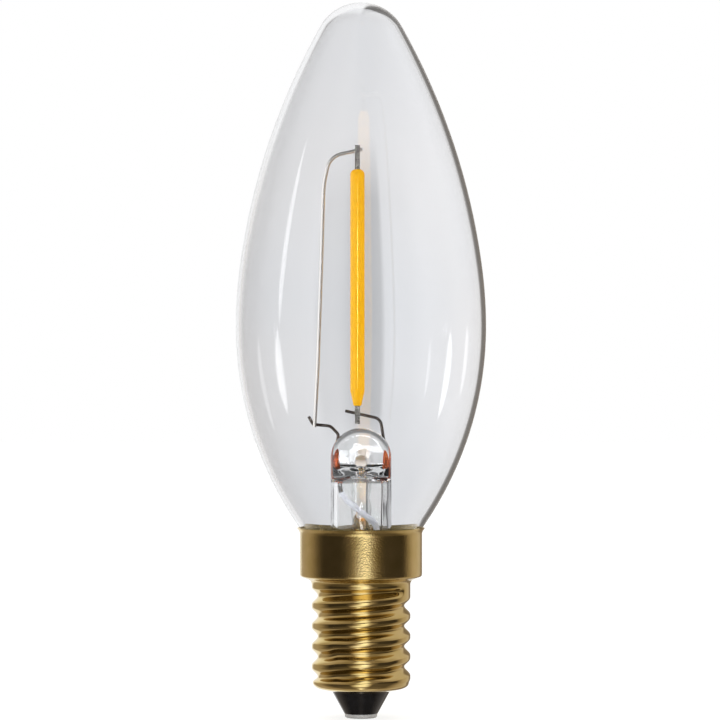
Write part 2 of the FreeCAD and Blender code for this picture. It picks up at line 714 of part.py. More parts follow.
def led_chips():
    inset = TERMINAL_LAP + LED_END_MARGIN + LED_L / 2
    first = STRIP_FOOT_Z + inset
    pitch = (STRIP_TOP_Z - inset - first) / (LED_COUNT - 1)
    y = LEAD_FRONT_Y - LED_T / 2
    chips = []
    for i in range(LED_COUNT):
        chips.append(block((LED_W, LED_T, LED_L), (FILAMENT_X, y, first + i * pitch)))
    return Part.Compound(chips)


def filament_coat(coated):
    """Phosphor silicone, moulded round the strip, the chips and the ends of both terminals."""
    coat = lathe(
        [
            (0, COAT_FOOT_Z),
            (COAT_FOOT_D / 2, COAT_FOOT_Z),
            (COAT_D / 2, COAT_FOOT_Z + COAT_TAPER, COAT_TAPER),
            (COAT_D / 2, COAT_TOP_Z, COAT_TOP_ROUND_R),
            (0, COAT_TOP_Z),
        ]
    )
    coat.translate(V(FILAMENT_X, STRIP_Y, 0))
    return coat.cut(coated)


# Driver in the cap


def insulating_sleeve():
    foot = [(SLEEVE_BORE_R, INSULATOR_TOP_Z), (SLEEVE_R, INSULATOR_TOP_Z)]
    return lathe(foot + [(SLEEVE_R, SLEEVE_TOP_Z), (SLEEVE_BORE_R, SLEEVE_TOP_Z)])


def chip_legs():
    """Flat legs: two on each end of the rectifier, and a row on each side of the driver chip."""
    legs = []
    for foot_z in (RECTIFIER_Z - FLAT_LEG_L, RECTIFIER_Z + RECTIFIER_SIZE[2]):
        for side in (-1, 1):
            x = RECTIFIER_X + side * RECTIFIER_LEG_PITCH / 2
            legs.append(on_board((FLAT_LEG_W, FLAT_LEG_T, FLAT_LEG_L), x, foot_z))
    middle_z = DRIVER_CHIP_Z + (DRIVER_CHIP_SIZE[2] - FLAT_LEG_W) / 2
    for side in (-1, 1):
        x = DRIVER_CHIP_X + side * (DRIVER_CHIP_SIZE[0] + FLAT_LEG_L) / 2
        for i in range(DRIVER_LEGS_A_SIDE):
            foot_z = middle_z + (i - (DRIVER_LEGS_A_SIDE - 1) / 2) * DRIVER_LEG_PITCH
            legs.append(on_board((FLAT_LEG_L, FLAT_LEG_T, FLAT_LEG_W), x, foot_z))
    return Part.Compound(legs)


def chip_resistors():
    first = RESISTOR_MARGIN + RESISTOR_SIZE[0] / 2 - BOARD_HALF_W
    z = BOARD_Z + RESISTOR_RISE
    row = [on_board(RESISTOR_SIZE, first + i * RESISTOR_PITCH, z) for i in range(RESISTOR_COUNT)]
    return Part.Compound(row)


def component_legs():
    """Wire legs of the capacitor and the fuse resistor, each bent through its hole in the board."""
    ends = [(x, CAPACITOR_Y, CAPACITOR_Z, LOW_HOLE_Z) for x in CAPACITOR_LEGS_X]
    ends.append((FUSE_X, FUSE_Y, FUSE_Z, LOW_HOLE_Z))
    ends.append((FUSE_X, FUSE_Y, FUSE_Z + FUSE_L, HIGH_HOLE_Z))
    legs = []
    for x, y, z, hole_z in ends:
        route = [(x, y, z), (x, y, hole_z), (x, FRONT_Y - WIRE_LEG_STUB, hole_z)]
        legs.append(rod(route, WIRE_LEG_D, [WIRE_LEG_D]))
    return Part.Compound(legs)


def driver_board(legs):
    board = block((2 * BOARD_HALF_W, BOARD_T, BOARD_H), (0, 0, BOARD_Z + BOARD_H / 2))
    return board.cut(legs)


def contact_wire():
    """From the rivet's head up to the foot of the board's front face."""
    y = FRONT_Y - HOOKUP_D / 2
    route = [
        (0, 0, HEAD_TOP_Z),
        (0, 0, BOARD_Z - CONTACT_WIRE_DROP),
        (0, y, BOARD_Z - HOOKUP_D),
        (0, y, BOARD_Z + CONTACT_WIRE_RISE),
    ]
    return rod(route, HOOKUP_D, [HOOKUP_BEND_R] * 2)


def shell_wire():
    """From the board's top over the sleeve to the inside of the cap's plain band."""
    y = FRONT_Y - HOOKUP_D / 2
    run_z = SLEEVE_TOP_Z + SHELL_WIRE_GAP + HOOKUP_D / 2
    wall_r = CREST_R - SHEET - HOOKUP_D / 2
    angle = math.radians(SHELL_WIRE_ANGLE)
    end = (wall_r * math.cos(angle), wall_r * math.sin(angle))
    route = [
        (SHELL_PAD_X, y, PAD_Z),
        (SHELL_PAD_X, y, run_z),
        (*end, run_z),
        (*end, run_z + SHELL_WIRE_WELD),
    ]
    return rod(route, HOOKUP_D, [HOOKUP_BEND_R] * 2)


def solder_joints(neighbours):
    """Solder drops on the board's pads, round its wire legs and on the rivet's head."""
    drops = [
        (LEAD_PAD_X, FRONT_Y, PAD_Z),
        (LEAD_PAD_X, BACK_Y, PAD_Z),
        (SHELL_PAD_X, FRONT_Y, PAD_Z),
        (0, FRONT_Y, BOARD_Z + CONTACT_WIRE_RISE),
        (FUSE_X, FRONT_Y, LOW_HOLE_Z),
        (FUSE_X, FRONT_Y, HIGH_HOLE_Z),
        (0, 0, HEAD_TOP_Z),
    ]
    drops += [(x, FRONT_Y, LOW_HOLE_Z) for x in CAPACITOR_LEGS_X]
    return Part.Compound([Part.makeSphere(SOLDER_D / 2, V(*drop)).cut(neighbours) for drop in drops])


def build():
    left_top_z = SEAL_EXIT_Z - LEFT_STUB
    right_top_z = SEAL_EXIT_Z - RIGHT_STUB
    left_seal = seal_wire(-1, left_top_z)
    right_seal = seal_wire(1, right_top_z)
    parts = {
        "cap_shell": cap_shell(),
        "cap_insulator": cap_insulator(),
        "centre_contact": centre_contact(),
        "basing_cement": basing_cement(),
        "glass_bulb": glass_bulb(),
        "exhaust_tube": exhaust_tube(),
        "left_seal_wire": left_seal,
        "right_seal_wire": right_seal,
        "left_inner_lead": left_inner_lead(left_top_z).cut(left_seal),
        "right_inner_lead": right_inner_lead(right_top_z).cut(right_seal),
        "return_wire": return_wire(),
        "left_outer_lead": left_outer_lead().cut(left_seal),
        "right_outer_lead": right_outer_lead().cut(right_seal),
        "lead_sleeve": lead_sleeve(),
        "filament_strip": filament_strip(),
        "led_chips": led_chips(),
        "lower_terminal": terminal(LOWER_WELD_Z - LOWER_TAIL, STRIP_FOOT_Z + TERMINAL_LAP),
        "upper_terminal": terminal(STRIP_TOP_Z - TERMINAL_LAP, UPPER_WELD_Z + UPPER_TAIL),
        "insulating_sleeve": insulating_sleeve(),
        "bridge_rectifier": on_board(RECTIFIER_SIZE, RECTIFIER_X, RECTIFIER_Z),
        "driver_chip": on_board(DRIVER_CHIP_SIZE, DRIVER_CHIP_X, DRIVER_CHIP_Z),
        "chip_legs": chip_legs(),
        "chip_resistors": chip_resistors(),
        "smoothing_capacitor": Part.makeCylinder(
            CAPACITOR_D / 2, CAPACITOR_L, V(CAPACITOR_X, CAPACITOR_Y, CAPACITOR_Z)
        ),
        "fuse_resistor": Part.makeCylinder(FUSE_D / 2, FUSE_L, V(FUSE_X, FUSE_Y, FUSE_Z)),
        "component_legs": component_legs(),
        "contact_wire": contact_wire(),
        "shell_wire": shell_wire(),
    }
    sealed = ["left_seal_wire", "right_seal_wire", "left_inner_lead", "right_inner_lead"]
    parts["stem_glass"] = stem_glass([parts[name] for name in sealed])
    coated = ["filament_strip", "led_chips", "lower_terminal", "upper_terminal"]
    parts["filament_coat"] = filament_coat([parts[name] for name in coated])
    parts["driver_board"] = driver_board(parts["component_legs"])
    soldered = ["left_outer_lead", "right_outer_lead", "contact_wire", "shell_wire"]
    soldered += ["component_legs", "driver_board", "centre_contact"]
    parts["solder_joints"] = solder_joints([parts[name] for name in soldered])
    return parts


os.makedirs("parts", exist_ok=True)
for name, shape in build().items():
    shape.exportStep("parts/" + name + ".step")
    heights = [round(z, 2) for z in (shape.BoundBox.ZMin, shape.BoundBox.ZMax)]
    print(name, len(shape.Solids), shape.isValid(), round(shape.Volume, 2), heights)
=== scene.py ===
# %% [markdown]
# # A clear candle lamp with one LED filament
#
# This lesson dresses a CAD model of a candle lamp in Blender: blown glass, a glass stem, wires, a
# yellow filament and a brass screw cap. The CAD model gives every place and size. Blender gives the
# surfaces: glass that bends light, brass with a rolled thread, and wires with their drawn shine.

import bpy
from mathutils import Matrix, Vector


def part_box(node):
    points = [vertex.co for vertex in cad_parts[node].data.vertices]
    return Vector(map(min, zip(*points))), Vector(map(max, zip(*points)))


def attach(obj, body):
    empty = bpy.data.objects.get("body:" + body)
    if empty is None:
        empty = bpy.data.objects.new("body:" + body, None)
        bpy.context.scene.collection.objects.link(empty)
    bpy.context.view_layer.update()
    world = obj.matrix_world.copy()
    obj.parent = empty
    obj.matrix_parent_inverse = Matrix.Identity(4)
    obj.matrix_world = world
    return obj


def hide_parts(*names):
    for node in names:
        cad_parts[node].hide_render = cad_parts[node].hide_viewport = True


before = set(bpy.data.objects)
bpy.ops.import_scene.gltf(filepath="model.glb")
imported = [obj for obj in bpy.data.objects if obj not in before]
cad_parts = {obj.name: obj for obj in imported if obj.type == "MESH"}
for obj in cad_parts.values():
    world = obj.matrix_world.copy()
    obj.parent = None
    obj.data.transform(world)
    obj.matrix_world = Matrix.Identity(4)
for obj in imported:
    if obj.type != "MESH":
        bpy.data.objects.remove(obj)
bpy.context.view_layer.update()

# %% Tools of the whole lesson
import math

import bmesh
import bpy
import numpy as np
from mathutils import Vector

MM = 0.001
BODY = "root"
MATH = "ShaderNodeMath"
MAP = "ShaderNodeMapRange"
MIX = "ShaderNodeMix"
print("Blender", bpy.app.version_string)

# %% [markdown]
# ## Colours and nodes
#
# Colours are written as sRGB hex values, as a colour picker shows them. The render works in linear
# light, so one function turns them. One more function adds a node, sets it and links it. With only
# these two, each finish below reads as a list of what feeds what.

# %% Colour and node helpers


def linear(hex_colour):
    """sRGB hex to linear RGBA."""
    parts = [int(hex_colour[i:i + 2], 16) / 255 for i in (1, 3, 5)]
    return [p / 12.92 if p <= 0.04045 else ((p + 0.055) / 1.055) ** 2.4 for p in parts] + [1.0]


def add(tree, kind, inputs=None, **settings):
    """Adds a node. An input is a value, a socket to link, or a node, whose first output is linked."""
    made = tree.nodes.new(kind)
    for name, value in settings.items():
        setattr(made, name, value)
    for socket, value in (inputs or {}).items():
        if isinstance(value, bpy.types.Node):
            value = value.outputs[0]
        if isinstance(value, bpy.types.NodeSocket):
            tree.links.new(value, made.inputs[socket])
        else:
            made.inputs[socket].default_value = value
    return made


print("Brass yellow in linear light:", [round(v, 3) for v in linear("#E8CF92")])

# %% [markdown]
# ## One recipe for most finishes
#
# Nothing real has one flat colour. Most of this lamp's finishes are a pair of close colours, a
# roughness that changes a little from place to place, and a skin with a very shallow relief. One noise
# of a real size in millimetres can drive all three, because on most surfaces they go together: a spot
# that stands up is rubbed more, so it is lighter and duller too. It reads Object coordinates, so it
# stays on the surface from any side. What is the same all over goes straight onto the shader's own
# sockets.
# A Mix node of colours has them at its inputs 6 and 7 and gives them at its output 2.

# %% Recipe

NOISE_LOW, NOISE_HIGH = 0.3, 0.7


def finish(name, dark, light, rough, grain_mm, depth_mm, detail=2.0, **constants):
    """A Principled material with two tones, a roughness range and a bump of a real size."""
    made = bpy.data.materials.new(name)
    made.use_nodes = True
    tree = made.node_tree
    shader = tree.nodes["Principled BSDF"]
    for socket, value in constants.items():
        shader.inputs[socket.replace("_", " ")].default_value = value
    place = add(tree, "ShaderNodeTexCoord").outputs["Object"]
    noise = add(tree, "ShaderNodeTexNoise", {"Vector": place, "Scale": 1 / (grain_mm * MM), "Detail": detail})
    share = add(tree, MAP, {0: noise, 1: NOISE_LOW, 2: NOISE_HIGH})
    tone = add(tree, MIX, {0: share, 6: linear(dark), 7: linear(light)}, data_type="RGBA")
    tree.links.new(tone.outputs[2], shader.inputs["Base Color"])
    if rough[0] == rough[1]:
        shader.inputs["Roughness"].default_value = rough[0]
    else:
        patchy = add(tree, MAP, {0: noise, 1: NOISE_LOW, 2: NOISE_HIGH, 3: rough[0], 4: rough[1]})
        tree.links.new(patchy.outputs[0], shader.inputs["Roughness"])
    bump = add(tree, "ShaderNodeBump", {"Height": noise, "Distance": depth_mm * MM})
    tree.links.new(bump.outputs[0], shader.inputs["Normal"])
    return made


print("Noise between", NOISE_LOW, "and", NOISE_HIGH, "spans a finish's two tones")

# %% [markdown]
# ## Brass of the cap
#
# The cap is deep-drawn from thin brass sheet and tumbled, which leaves its collar satin with a fine
# sparkling grain, while the rolls that press the thread leave that part glossy. Brass is a metal, so
# its colour is the colour of its reflections and it keeps the default IOR. The real grain is about
# 0.1 mm, less than a pixel, so it is drawn at 0.2 mm. Two materials could be used, but one mask by
# height fades the grain out below the collar and keeps the sheet in one piece.

# %% Brass

THREAD_TOP = 18.3
COLLAR_FOOT = 19.692
TARNISH_MM = 2.5
GRAIN_MM, GRAIN_DEPTH_MM = 0.2, 0.04
GRAIN_ON_THREAD, GRAIN_ON_COLLAR = 0.04, 0.5
ROLLED_ROUGH, TUMBLED_ROUGH = (0.06, 0.11), (0.1, 0.14)

# Drawn brass: yellow mirror with soft clouds of tarnish
brass = finish(
    "drawn_brass_tumbled_and_rolled", "#DDC582", "#E8CF92", ROLLED_ROUGH, TARNISH_MM, GRAIN_DEPTH_MM,
    Metallic=1.0,
)
tree = brass.node_tree
shader = tree.nodes["Principled BSDF"]
place = tree.nodes["Texture Coordinate"].outputs["Object"]
height = add(tree, "ShaderNodeSeparateXYZ", {0: place}).outputs[2]
on_collar = add(tree, MAP, {0: height, 1: THREAD_TOP * MM, 2: COLLAR_FOOT * MM})
rolled = shader.inputs["Roughness"].links[0].from_node
tarnish = {0: tree.nodes["Noise Texture"], 1: NOISE_LOW, 2: NOISE_HIGH}
tumbled = add(tree, MAP, {**tarnish, 3: TUMBLED_ROUGH[0], 4: TUMBLED_ROUGH[1]})
rough = add(tree, MIX, {0: on_collar, 2: rolled, 3: tumbled})
tree.links.new(rough.outputs[0], shader.inputs["Roughness"])
grain = add(tree, "ShaderNodeTexNoise", {"Vector": place, "Scale": 1 / (GRAIN_MM * MM), "Detail": 2.0})
strength = add(tree, MAP, {0: on_collar, 3: GRAIN_ON_THREAD, 4: GRAIN_ON_COLLAR})
tree.links.new(grain.outputs[0], tree.nodes["Bump"].inputs["Height"])
tree.links.new(strength.outputs[0], tree.nodes["Bump"].inputs["Strength"])
print("Brass nodes:", len(tree.nodes))

# %% [markdown]
# ## Glasses
#
# The bulb is blown soda-lime glass, IOR 1.52, and the stem is softer lead glass, IOR 1.56. Both are
# clear, so what they show is bent and reflected light, and real walls with an inside and an outside do
# that by themselves. A clear glass could also be faked with transparency and a rim colour, but then the
# wires behind it wouldn't bend. Each wall takes a few percent of the light, which the colours give,
# and blown glass is never quite flat, so a shallow wave about two centimetres long moves its reflections.

# %% Glasses

# Blown glass: clear, with edges that go dark or white and long gentle reflections
bulb_glass = finish(
    "blown_soda_lime_glass", "#F6F7F9", "#F8F8F9", (0.0, 0.0), 22.0, 0.01, 0.0,
    IOR=1.52, Transmission_Weight=1.0,
)

# Pressed glass: clear too, but wavy from the jaws, with drawn streaks down the tube
stem_glass = finish(
    "pressed_lead_glass", "#F9FAF9", "#FBFAF9", (0.0, 0.0), 2.6, 0.05, 0.0,
    IOR=1.56, Transmission_Weight=1.0,
)
STREAK_MM, STREAK_SQUEEZE = 0.9, 0.06
LUMPS_TO_STREAKS = 2.5
tree = stem_glass.node_tree
lumps = tree.nodes["Noise Texture"]
place = tree.nodes["Texture Coordinate"].outputs["Object"]
drawn = add(tree, "ShaderNodeMapping", {"Vector": place, "Scale": (1, 1, STREAK_SQUEEZE)})
streaks = add(tree, "ShaderNodeTexNoise", {"Vector": drawn, "Scale": 1 / (STREAK_MM * MM), "Detail": 0.0})
relief = add(tree, MATH, {0: lumps, 1: LUMPS_TO_STREAKS, 2: streaks}, operation="MULTIPLY_ADD")
tree.links.new(relief.outputs[0], tree.nodes["Bump"].inputs["Height"])

# Black glass, pressed round the contact: near black with a soft gloss and a slight orange-peel skin
black_glass = finish("pressed_black_glass", "#131418", "#1E1F24", (0.1, 0.16), 0.7, 0.01, IOR=1.52)
print("Glasses:", [glass.name for glass in (bulb_glass, stem_glass, black_glass)])

# %% [markdown]
# ## Metals of the wires and contacts
#
# Wires are drawn through a die, which leaves a fine skin, and each is plated or left to oxidise. They
# could be given lines along their length, but at a third of a millimetre thick only the patchy colour
# and shine can be seen, so the recipe is enough.

# %% Metals

# Nickel-iron leads oxidised by the sealing flame: brown-grey with dull and bright patches
lead_wire = finish("oxidised_nickel_wire", "#5A524E", "#8B827C", (0.3, 0.45), 0.25, 0.01, 3.0, Metallic=1.0)

# Return wire, nickel drawn bright: nearly white where it faces the light
bright_wire = finish("bright_drawn_nickel_wire", "#F3EEE8", "#FBF8F4", (0.3, 0.4), 0.5, 0.002, Metallic=1.0)

# Seal wire: its copper oxide bonds to the glass and glows orange-red through it
seal_wire = finish("copper_oxide_wire", "#E2582A", "#F58A55", (0.3, 0.45), 0.3, 0.01, 3.0, Metallic=1.0)

# Plated strip, stamped and crushed by the weld: grey with bright and dark patches
terminal_metal = finish(
    "plated_terminal_strip", "#4C4A47", "#94918C", (0.25, 0.4), 0.3, 0.01, 3.0, Metallic=1.0
)

# Tin plate with its dull oxide skin, which scatters most of the light: even, pale and grey
contact_metal = finish("dull_tin_plate", "#DADADB", "#ECECED", (0.5, 0.65), 0.4, 0.008, 3.0, Metallic=0.35)

# Tinned copper and solder: bright, with the ripples of metal that froze
tinned_metal = finish(
    "tinned_copper_and_solder", "#B4B5B8", "#D5D6D8", (0.2, 0.35), 0.4, 0.01, 3.0, Metallic=1.0
)
metals = (lead_wire, bright_wire, seal_wire, terminal_metal, contact_metal, tinned_metal)
print("Metals:", [metal.name for metal in metals])

# %% [markdown]
# ## Filament coat
#
# The coat is clear silicone, IOR 1.54, filled with yellow phosphor powder. Unlit it is a strong
# orange-yellow, and a little light enters and leaves it nearby: that is subsurface scattering over
# about half a millimetre. The mould leaves the skin smooth enough for one thin line of highlight. That
# line is strong and yellow in the photograph, so the specular level is doubled and tinted. A plain
# white gloss would lay a pale veil over the colour.

# %% Filament coat

# Phosphor-filled silicone, moulded: saturated yellow with depth and a thin bright line
phosphor = finish(
    "phosphor_filled_silicone", "#F6B102", "#FCBA06", (0.1, 0.13), 0.8, 0.001,
    IOR=1.54, Specular_IOR_Level=1.0, Specular_Tint=(1.0, 0.82, 0.25, 1.0),
    Subsurface_Weight=0.1, Subsurface_Radius=(1.0, 0.55, 0.1), Subsurface_Scale=0.4 * MM,
)
print("Coat:", phosphor.name, "with", len(phosphor.node_tree.nodes), "nodes")

# %% [markdown]
# ## What the cap hides
#
# The driver sits inside the cap and shows only when the lamp is cut open or the glass is looked into
# from above, but it has its true finishes too. They are dull or glossy non-metals, so the recipe fits.
# The circuit board is the one with a pattern: its woven glass cloth, half a millimetre from thread to
# thread, shows through the green lacquer. A Wave texture gives such even threads.

# %% Finishes inside the cap

# Basing cement, baked: chalky and matt
cement = finish("baked_basing_cement", "#B5AB97", "#CEC5B2", (0.85, 0.95), 0.35, 0.05)

# Woven glass sleeve, saturated with silicone: milky white that lets some light through
pale_sleeve = finish(
    "woven_glass_sleeve", "#E6E8F4", "#F6F7FC", (0.35, 0.35), 0.3, 0.01,
    IOR=1.35, Transmission_Weight=0.3,
)

# Alumina ceramic, fired: white and softly glossy
strip_ceramic = finish("fired_alumina_ceramic", "#E4E3DE", "#F1F0EC", (0.35, 0.45), 0.1, 0.004)

# Sapphire chips, sawn: cool blue-grey mirror faces
led_chip = finish("sawn_sapphire_chip", "#6F86B0", "#93A6C6", (0.08, 0.14), 0.2, 0.002)

# Epoxy, transfer-moulded: black with a fine matt grain
black_epoxy = finish("moulded_black_epoxy", "#161616", "#222222", (0.5, 0.6), 0.15, 0.01)

# PVC sleeve, heat-shrunk: dark, taut and glossy
capacitor_can = finish("shrunk_pvc_sleeve", "#1A1B1F", "#25262B", (0.25, 0.35), 0.5, 0.01)

# Lacquer over ceramic, dipped: blue-green with a thick gloss
resistor_coat = finish("dipped_lacquer_on_ceramic", "#3F6F7A", "#4F828D", (0.25, 0.35), 0.3, 0.01)

# Wire insulation, extruded PVC: even red with a waxy gloss
hookup_wire = finish("extruded_pvc_insulation", "#9C1712", "#B4221B", (0.35, 0.45), 0.4, 0.01)

# Glass-fibre board, lacquered: green with the cloth's threads showing through
WEAVE_MM = 0.5
WAVES_PER_SCALE = 20 / (2 * math.pi)
circuit_board = finish("lacquered_glass_fibre_board", "#1E5A33", "#2A6E40", (0.3, 0.4), WEAVE_MM, 0.01)
tree = circuit_board.node_tree
place = tree.nodes["Texture Coordinate"].outputs["Object"]
weave_scale = 1 / (WEAVE_MM * MM * WAVES_PER_SCALE)
threads = add(tree, "ShaderNodeTexWave", {"Vector": place, "Scale": weave_scale})
tree.links.new(threads.outputs["Fac"], tree.nodes["Bump"].inputs["Height"])
tree.links.new(threads.outputs["Fac"], tree.nodes["Map Range"].inputs[0])
print("Board: threads each", WEAVE_MM, "mm, wave scale", round(weave_scale, 1))

# %% Finishes on the CAD nodes

FINISHES = {
    "cap_brass": brass, "black_glass": black_glass, "contact_metal": contact_metal, "cement": cement,
    "bulb_glass": bulb_glass, "stem_glass": stem_glass, "seal_wire": seal_wire, "lead_wire": lead_wire,
    "bright_wire": bright_wire, "pale_sleeve": pale_sleeve, "strip_ceramic": strip_ceramic,
    "led_chip": led_chip, "phosphor_coat": phosphor, "terminal_metal": terminal_metal,
    "circuit_board": circuit_board, "black_epoxy": black_epoxy, "tinned_metal": tinned_metal,
    "capacitor_can": capacitor_can, "resistor_coat": resistor_coat, "hookup_wire": hookup_wire,
}
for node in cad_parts.values():
    for holder in node.material_slots:
        holder.material = FINISHES[holder.material.name.split(".")[0]]
print("Finishes:", len(FINISHES), "on", len(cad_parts), "nodes")

# %% [markdown]
# ## Outlines and turning
#
# Glass on a lathe and drawn sheet metal are both bodies of revolution, so each starts as an outline: a
# chain of straight runs and arcs, in millimetres from the axis and from the contact. A curve object
# with a Screw modifier could turn it too, but here the walls need the outline's own inward side, so the
# points are worked out. The helper walks the corners and rounds each by its bend radius.

# %% Outline helpers


def outline(corners, step):
    """Points along (r, z) corners. A third number bends a corner by that radius."""
    points = [np.array(corner[:2], float) for corner in corners]
    bends = [corner[2] if len(corner) > 2 else 0 for corner in corners]
    path = [points[0]]
    for i in range(1, len(points) - 1):
        back = points[i - 1] - points[i]
        ahead = points[i + 1] - points[i]
        back /= np.linalg.norm(back)
        ahead /= np.linalg.norm(ahead)
        if bends[i] == 0:
            path.append(points[i])
            continue
        half = math.acos(np.clip(back @ ahead, -1, 1)) / 2
        cut = bends[i] / math.tan(half)
        middle = (back + ahead) / np.linalg.norm(back + ahead)
        centre = points[i] + middle * bends[i] / math.sin(half)
        first = points[i] + back * cut - centre
        last = points[i] + ahead * cut - centre
        sweep = math.pi - 2 * half
        turn = math.copysign(sweep, first[0] * last[1] - first[1] * last[0])
        count = max(3, math.ceil(sweep * bends[i] / step))
        for k in range(count + 1):
            c, s = math.cos(turn * k / count), math.sin(turn * k / count)
            path.append(centre + np.array([c * first[0] - s * first[1], s * first[0] + c * first[1]]))
    path.append(points[-1])
    return divided(path, step)


def divided(path, step):
    """The path with its long runs cut into equal steps."""
    points = [path[0]]
    for start, end in zip(path, path[1:]):
        count = max(1, math.ceil(np.linalg.norm(end - start) / step - 1e-6))
        points += [start + (end - start) * k / count for k in range(1, count + 1)]
    return np.array(points)


def arc(centre, radius, start, end, step):
    """Points of an arc from one angle to another, in radians from +r towards +z."""
    count = max(2, math.ceil(abs(end - start) * radius / step))
    angles = np.linspace(start, end, count + 1)
    return np.stack([centre[0] + radius * np.cos(angles), centre[1] + radius * np.sin(angles)], axis=1)


def inward_of(points):
    """Unit normals on the left of the way along the points."""
    ways = np.gradient(points, axis=0)
    ways /= np.linalg.norm(ways, axis=1)[:, None]
    return np.stack([-ways[:, 1], ways[:, 0]], axis=1)


print("A 90 degree arc of 1 mm in 0.25 mm steps:", len(arc((0, 0), 1, 0, math.pi / 2, 0.25)), "points")

# %% [markdown]
# ## From points to a piece
#
# A mesh is only lists of points and of faces. The turning helper closes the skin at the axis with
# triangles that share one point, so no pole is left open. The piece helper then measures the volume:
# a negative one says that the faces point inwards, and turns them.

# %% Mesh helpers


def turn_round(profile, around, closed):
    """Vertices and faces of a profile turned about the axis. An open profile starts and ends on it."""
    angles = np.arange(around) * 2 * math.pi / around
    vertices = []
    rings = []
    for r, z in profile:
        if r < 1e-6:
            rings.append([len(vertices)] * around)
            vertices.append((0, 0, z))
        else:
            rings.append(list(range(len(vertices), len(vertices) + around)))
            vertices += [(r * math.cos(a), r * math.sin(a), z) for a in angles]
    pairs = list(zip(rings, rings[1:]))
    if closed:
        pairs.append((rings[-1], rings[0]))
    faces = []
    for low, high in pairs:
        for i in range(around):
            j = (i + 1) % around
            corners = [low[i], low[j], high[j], high[i]]
            faces.append(list(dict.fromkeys(corners)))
    return vertices, faces


def smoothed(mesh, sharp_degrees=40):
    """Smooth shading, with the real edges kept sharp."""
    mesh.shade_smooth()
    mesh.set_sharp_from_angle(angle=math.radians(sharp_degrees))


def add_piece(name, vertices, faces, material):
    """A mesh piece, in metres, with its faces outwards. Prints its volume in cubic millimetres."""
    mesh = bpy.data.meshes.new(name)
    mesh.from_pydata((np.array(vertices) * MM).tolist(), [], faces)
    work = bmesh.new()
    work.from_mesh(mesh)
    volume = work.calc_volume(signed=True) / MM ** 3
    if volume < 0:
        bmesh.ops.reverse_faces(work, faces=work.faces)
    work.to_mesh(mesh)
    work.free()
    smoothed(mesh)
    mesh.materials.append(material)
    piece = bpy.data.objects.new(name, mesh)
    bpy.context.scene.collection.objects.link(piece)
    print(name, "faces", len(mesh.polygons), "volume mm3", round(abs(volume), 1))
    return piece


# %% [markdown]
# ## The blown envelope
#
# A candle bulb is blown into a mould from a tube, so its outline is a chain of arcs that run smoothly
# into each other: the neck's bend, the lower flank, the belly, the upper flank and the round tip. It
# could be a subdivided sphere pushed into shape, but an outline keeps the true radii, and glass shows
# every flat. The upper flank's radius isn't chosen: it is the one arc that touches both its neighbours.

# %% Outline of the envelope

NECK_R = 6.4
NECK_END_Z = 21.2
BEND_R = 3.0
BEND_Z = 22.46
BULB_R = 17.4
BELLY_Z = 54.343
LOWER_R = 48.7
BELLY_R = 62.0
FLANK_RISE = 7.7
TIP_R = 6.5
TIP_Z = 99.4


def envelope_outline(step):
    """The outer side, from the neck's end to the tip."""
    bend = (NECK_R + BEND_R, BEND_Z)
    lower = (BULB_R - LOWER_R, BELLY_Z)
    belly = (BULB_R - BELLY_R, BELLY_Z)
    tip = (0, TIP_Z - TIP_R)
    leave = math.atan2(bend[1] - lower[1], bend[0] - lower[0])
    lean = math.asin(FLANK_RISE / BELLY_R)
    out = np.array([math.cos(lean), math.sin(lean)])
    side = np.array(belly) + BELLY_R * out - np.array(tip)
    flank_r = (side @ side - TIP_R ** 2) / (2 * (side @ out - TIP_R))
    flank = np.array(belly) - (flank_r - BELLY_R) * out
    meet = math.atan2(tip[1] - flank[1], tip[0] - flank[0])
    print("Upper flank radius:", round(flank_r, 1), "mm")
    runs = [
        np.array([[NECK_R, NECK_END_Z]]),
        arc(bend, BEND_R, math.pi, math.pi + leave, step / 2),
        arc(lower, LOWER_R, leave, 0, step)[1:],
        arc(belly, BELLY_R, 0, lean, step)[1:],
        arc(flank, flank_r, lean, meet, step)[1:],
        arc(tip, TIP_R, meet, math.pi / 2, step / 2)[1:],
    ]
    return np.concatenate(runs)


# %% [markdown]
# The wall is about 0.6 mm at the belly, where the glass stretched most, and thicker towards the tip and
# the neck. This matters for the looks, because the bright or dark line at a clear glass's edge is just
# as wide as its wall is thick.

# %% Wall of the envelope

GLASS_WALL = 0.6
WALL_HEIGHTS = [22.5, 27.0, 45.0, 54.0, 92.0, 99.4]
WALLS = [GLASS_WALL, 0.8, 0.66, 0.64, 0.85, 0.85]
GLASS_STEP, AROUND_GLASS = 0.7, 192

outer = envelope_outline(GLASS_STEP)
inward = inward_of(outer)
inward[-1] = (0, -1)
wall = np.interp(outer[:, 1], WALL_HEIGHTS, WALLS)
inner = outer + inward * wall[:, None]
inner[0] = (NECK_R - GLASS_WALL, NECK_END_Z)
outer[-1, 0] = inner[-1, 0] = 0
profile = np.concatenate([outer[::-1], inner])
vertices, faces = turn_round(profile, AROUND_GLASS, closed=False)
envelope = add_piece("blown_envelope", vertices, faces, bulb_glass)

# %% [markdown]
# ## The stem
#
# The stem is a glass tube with a flare melted to the neck below and a flattened press above, where the
# wires are sealed in. A thin exhaust tube is fused into the press: the air was pumped out through it and
# its end melted shut. It is all one glass, so it is one closed skin here: turned, then squeezed flat
# where the jaws pinched it. Separate pieces that touch would show their walls inside the clear glass.

# %% Sizes of the stem

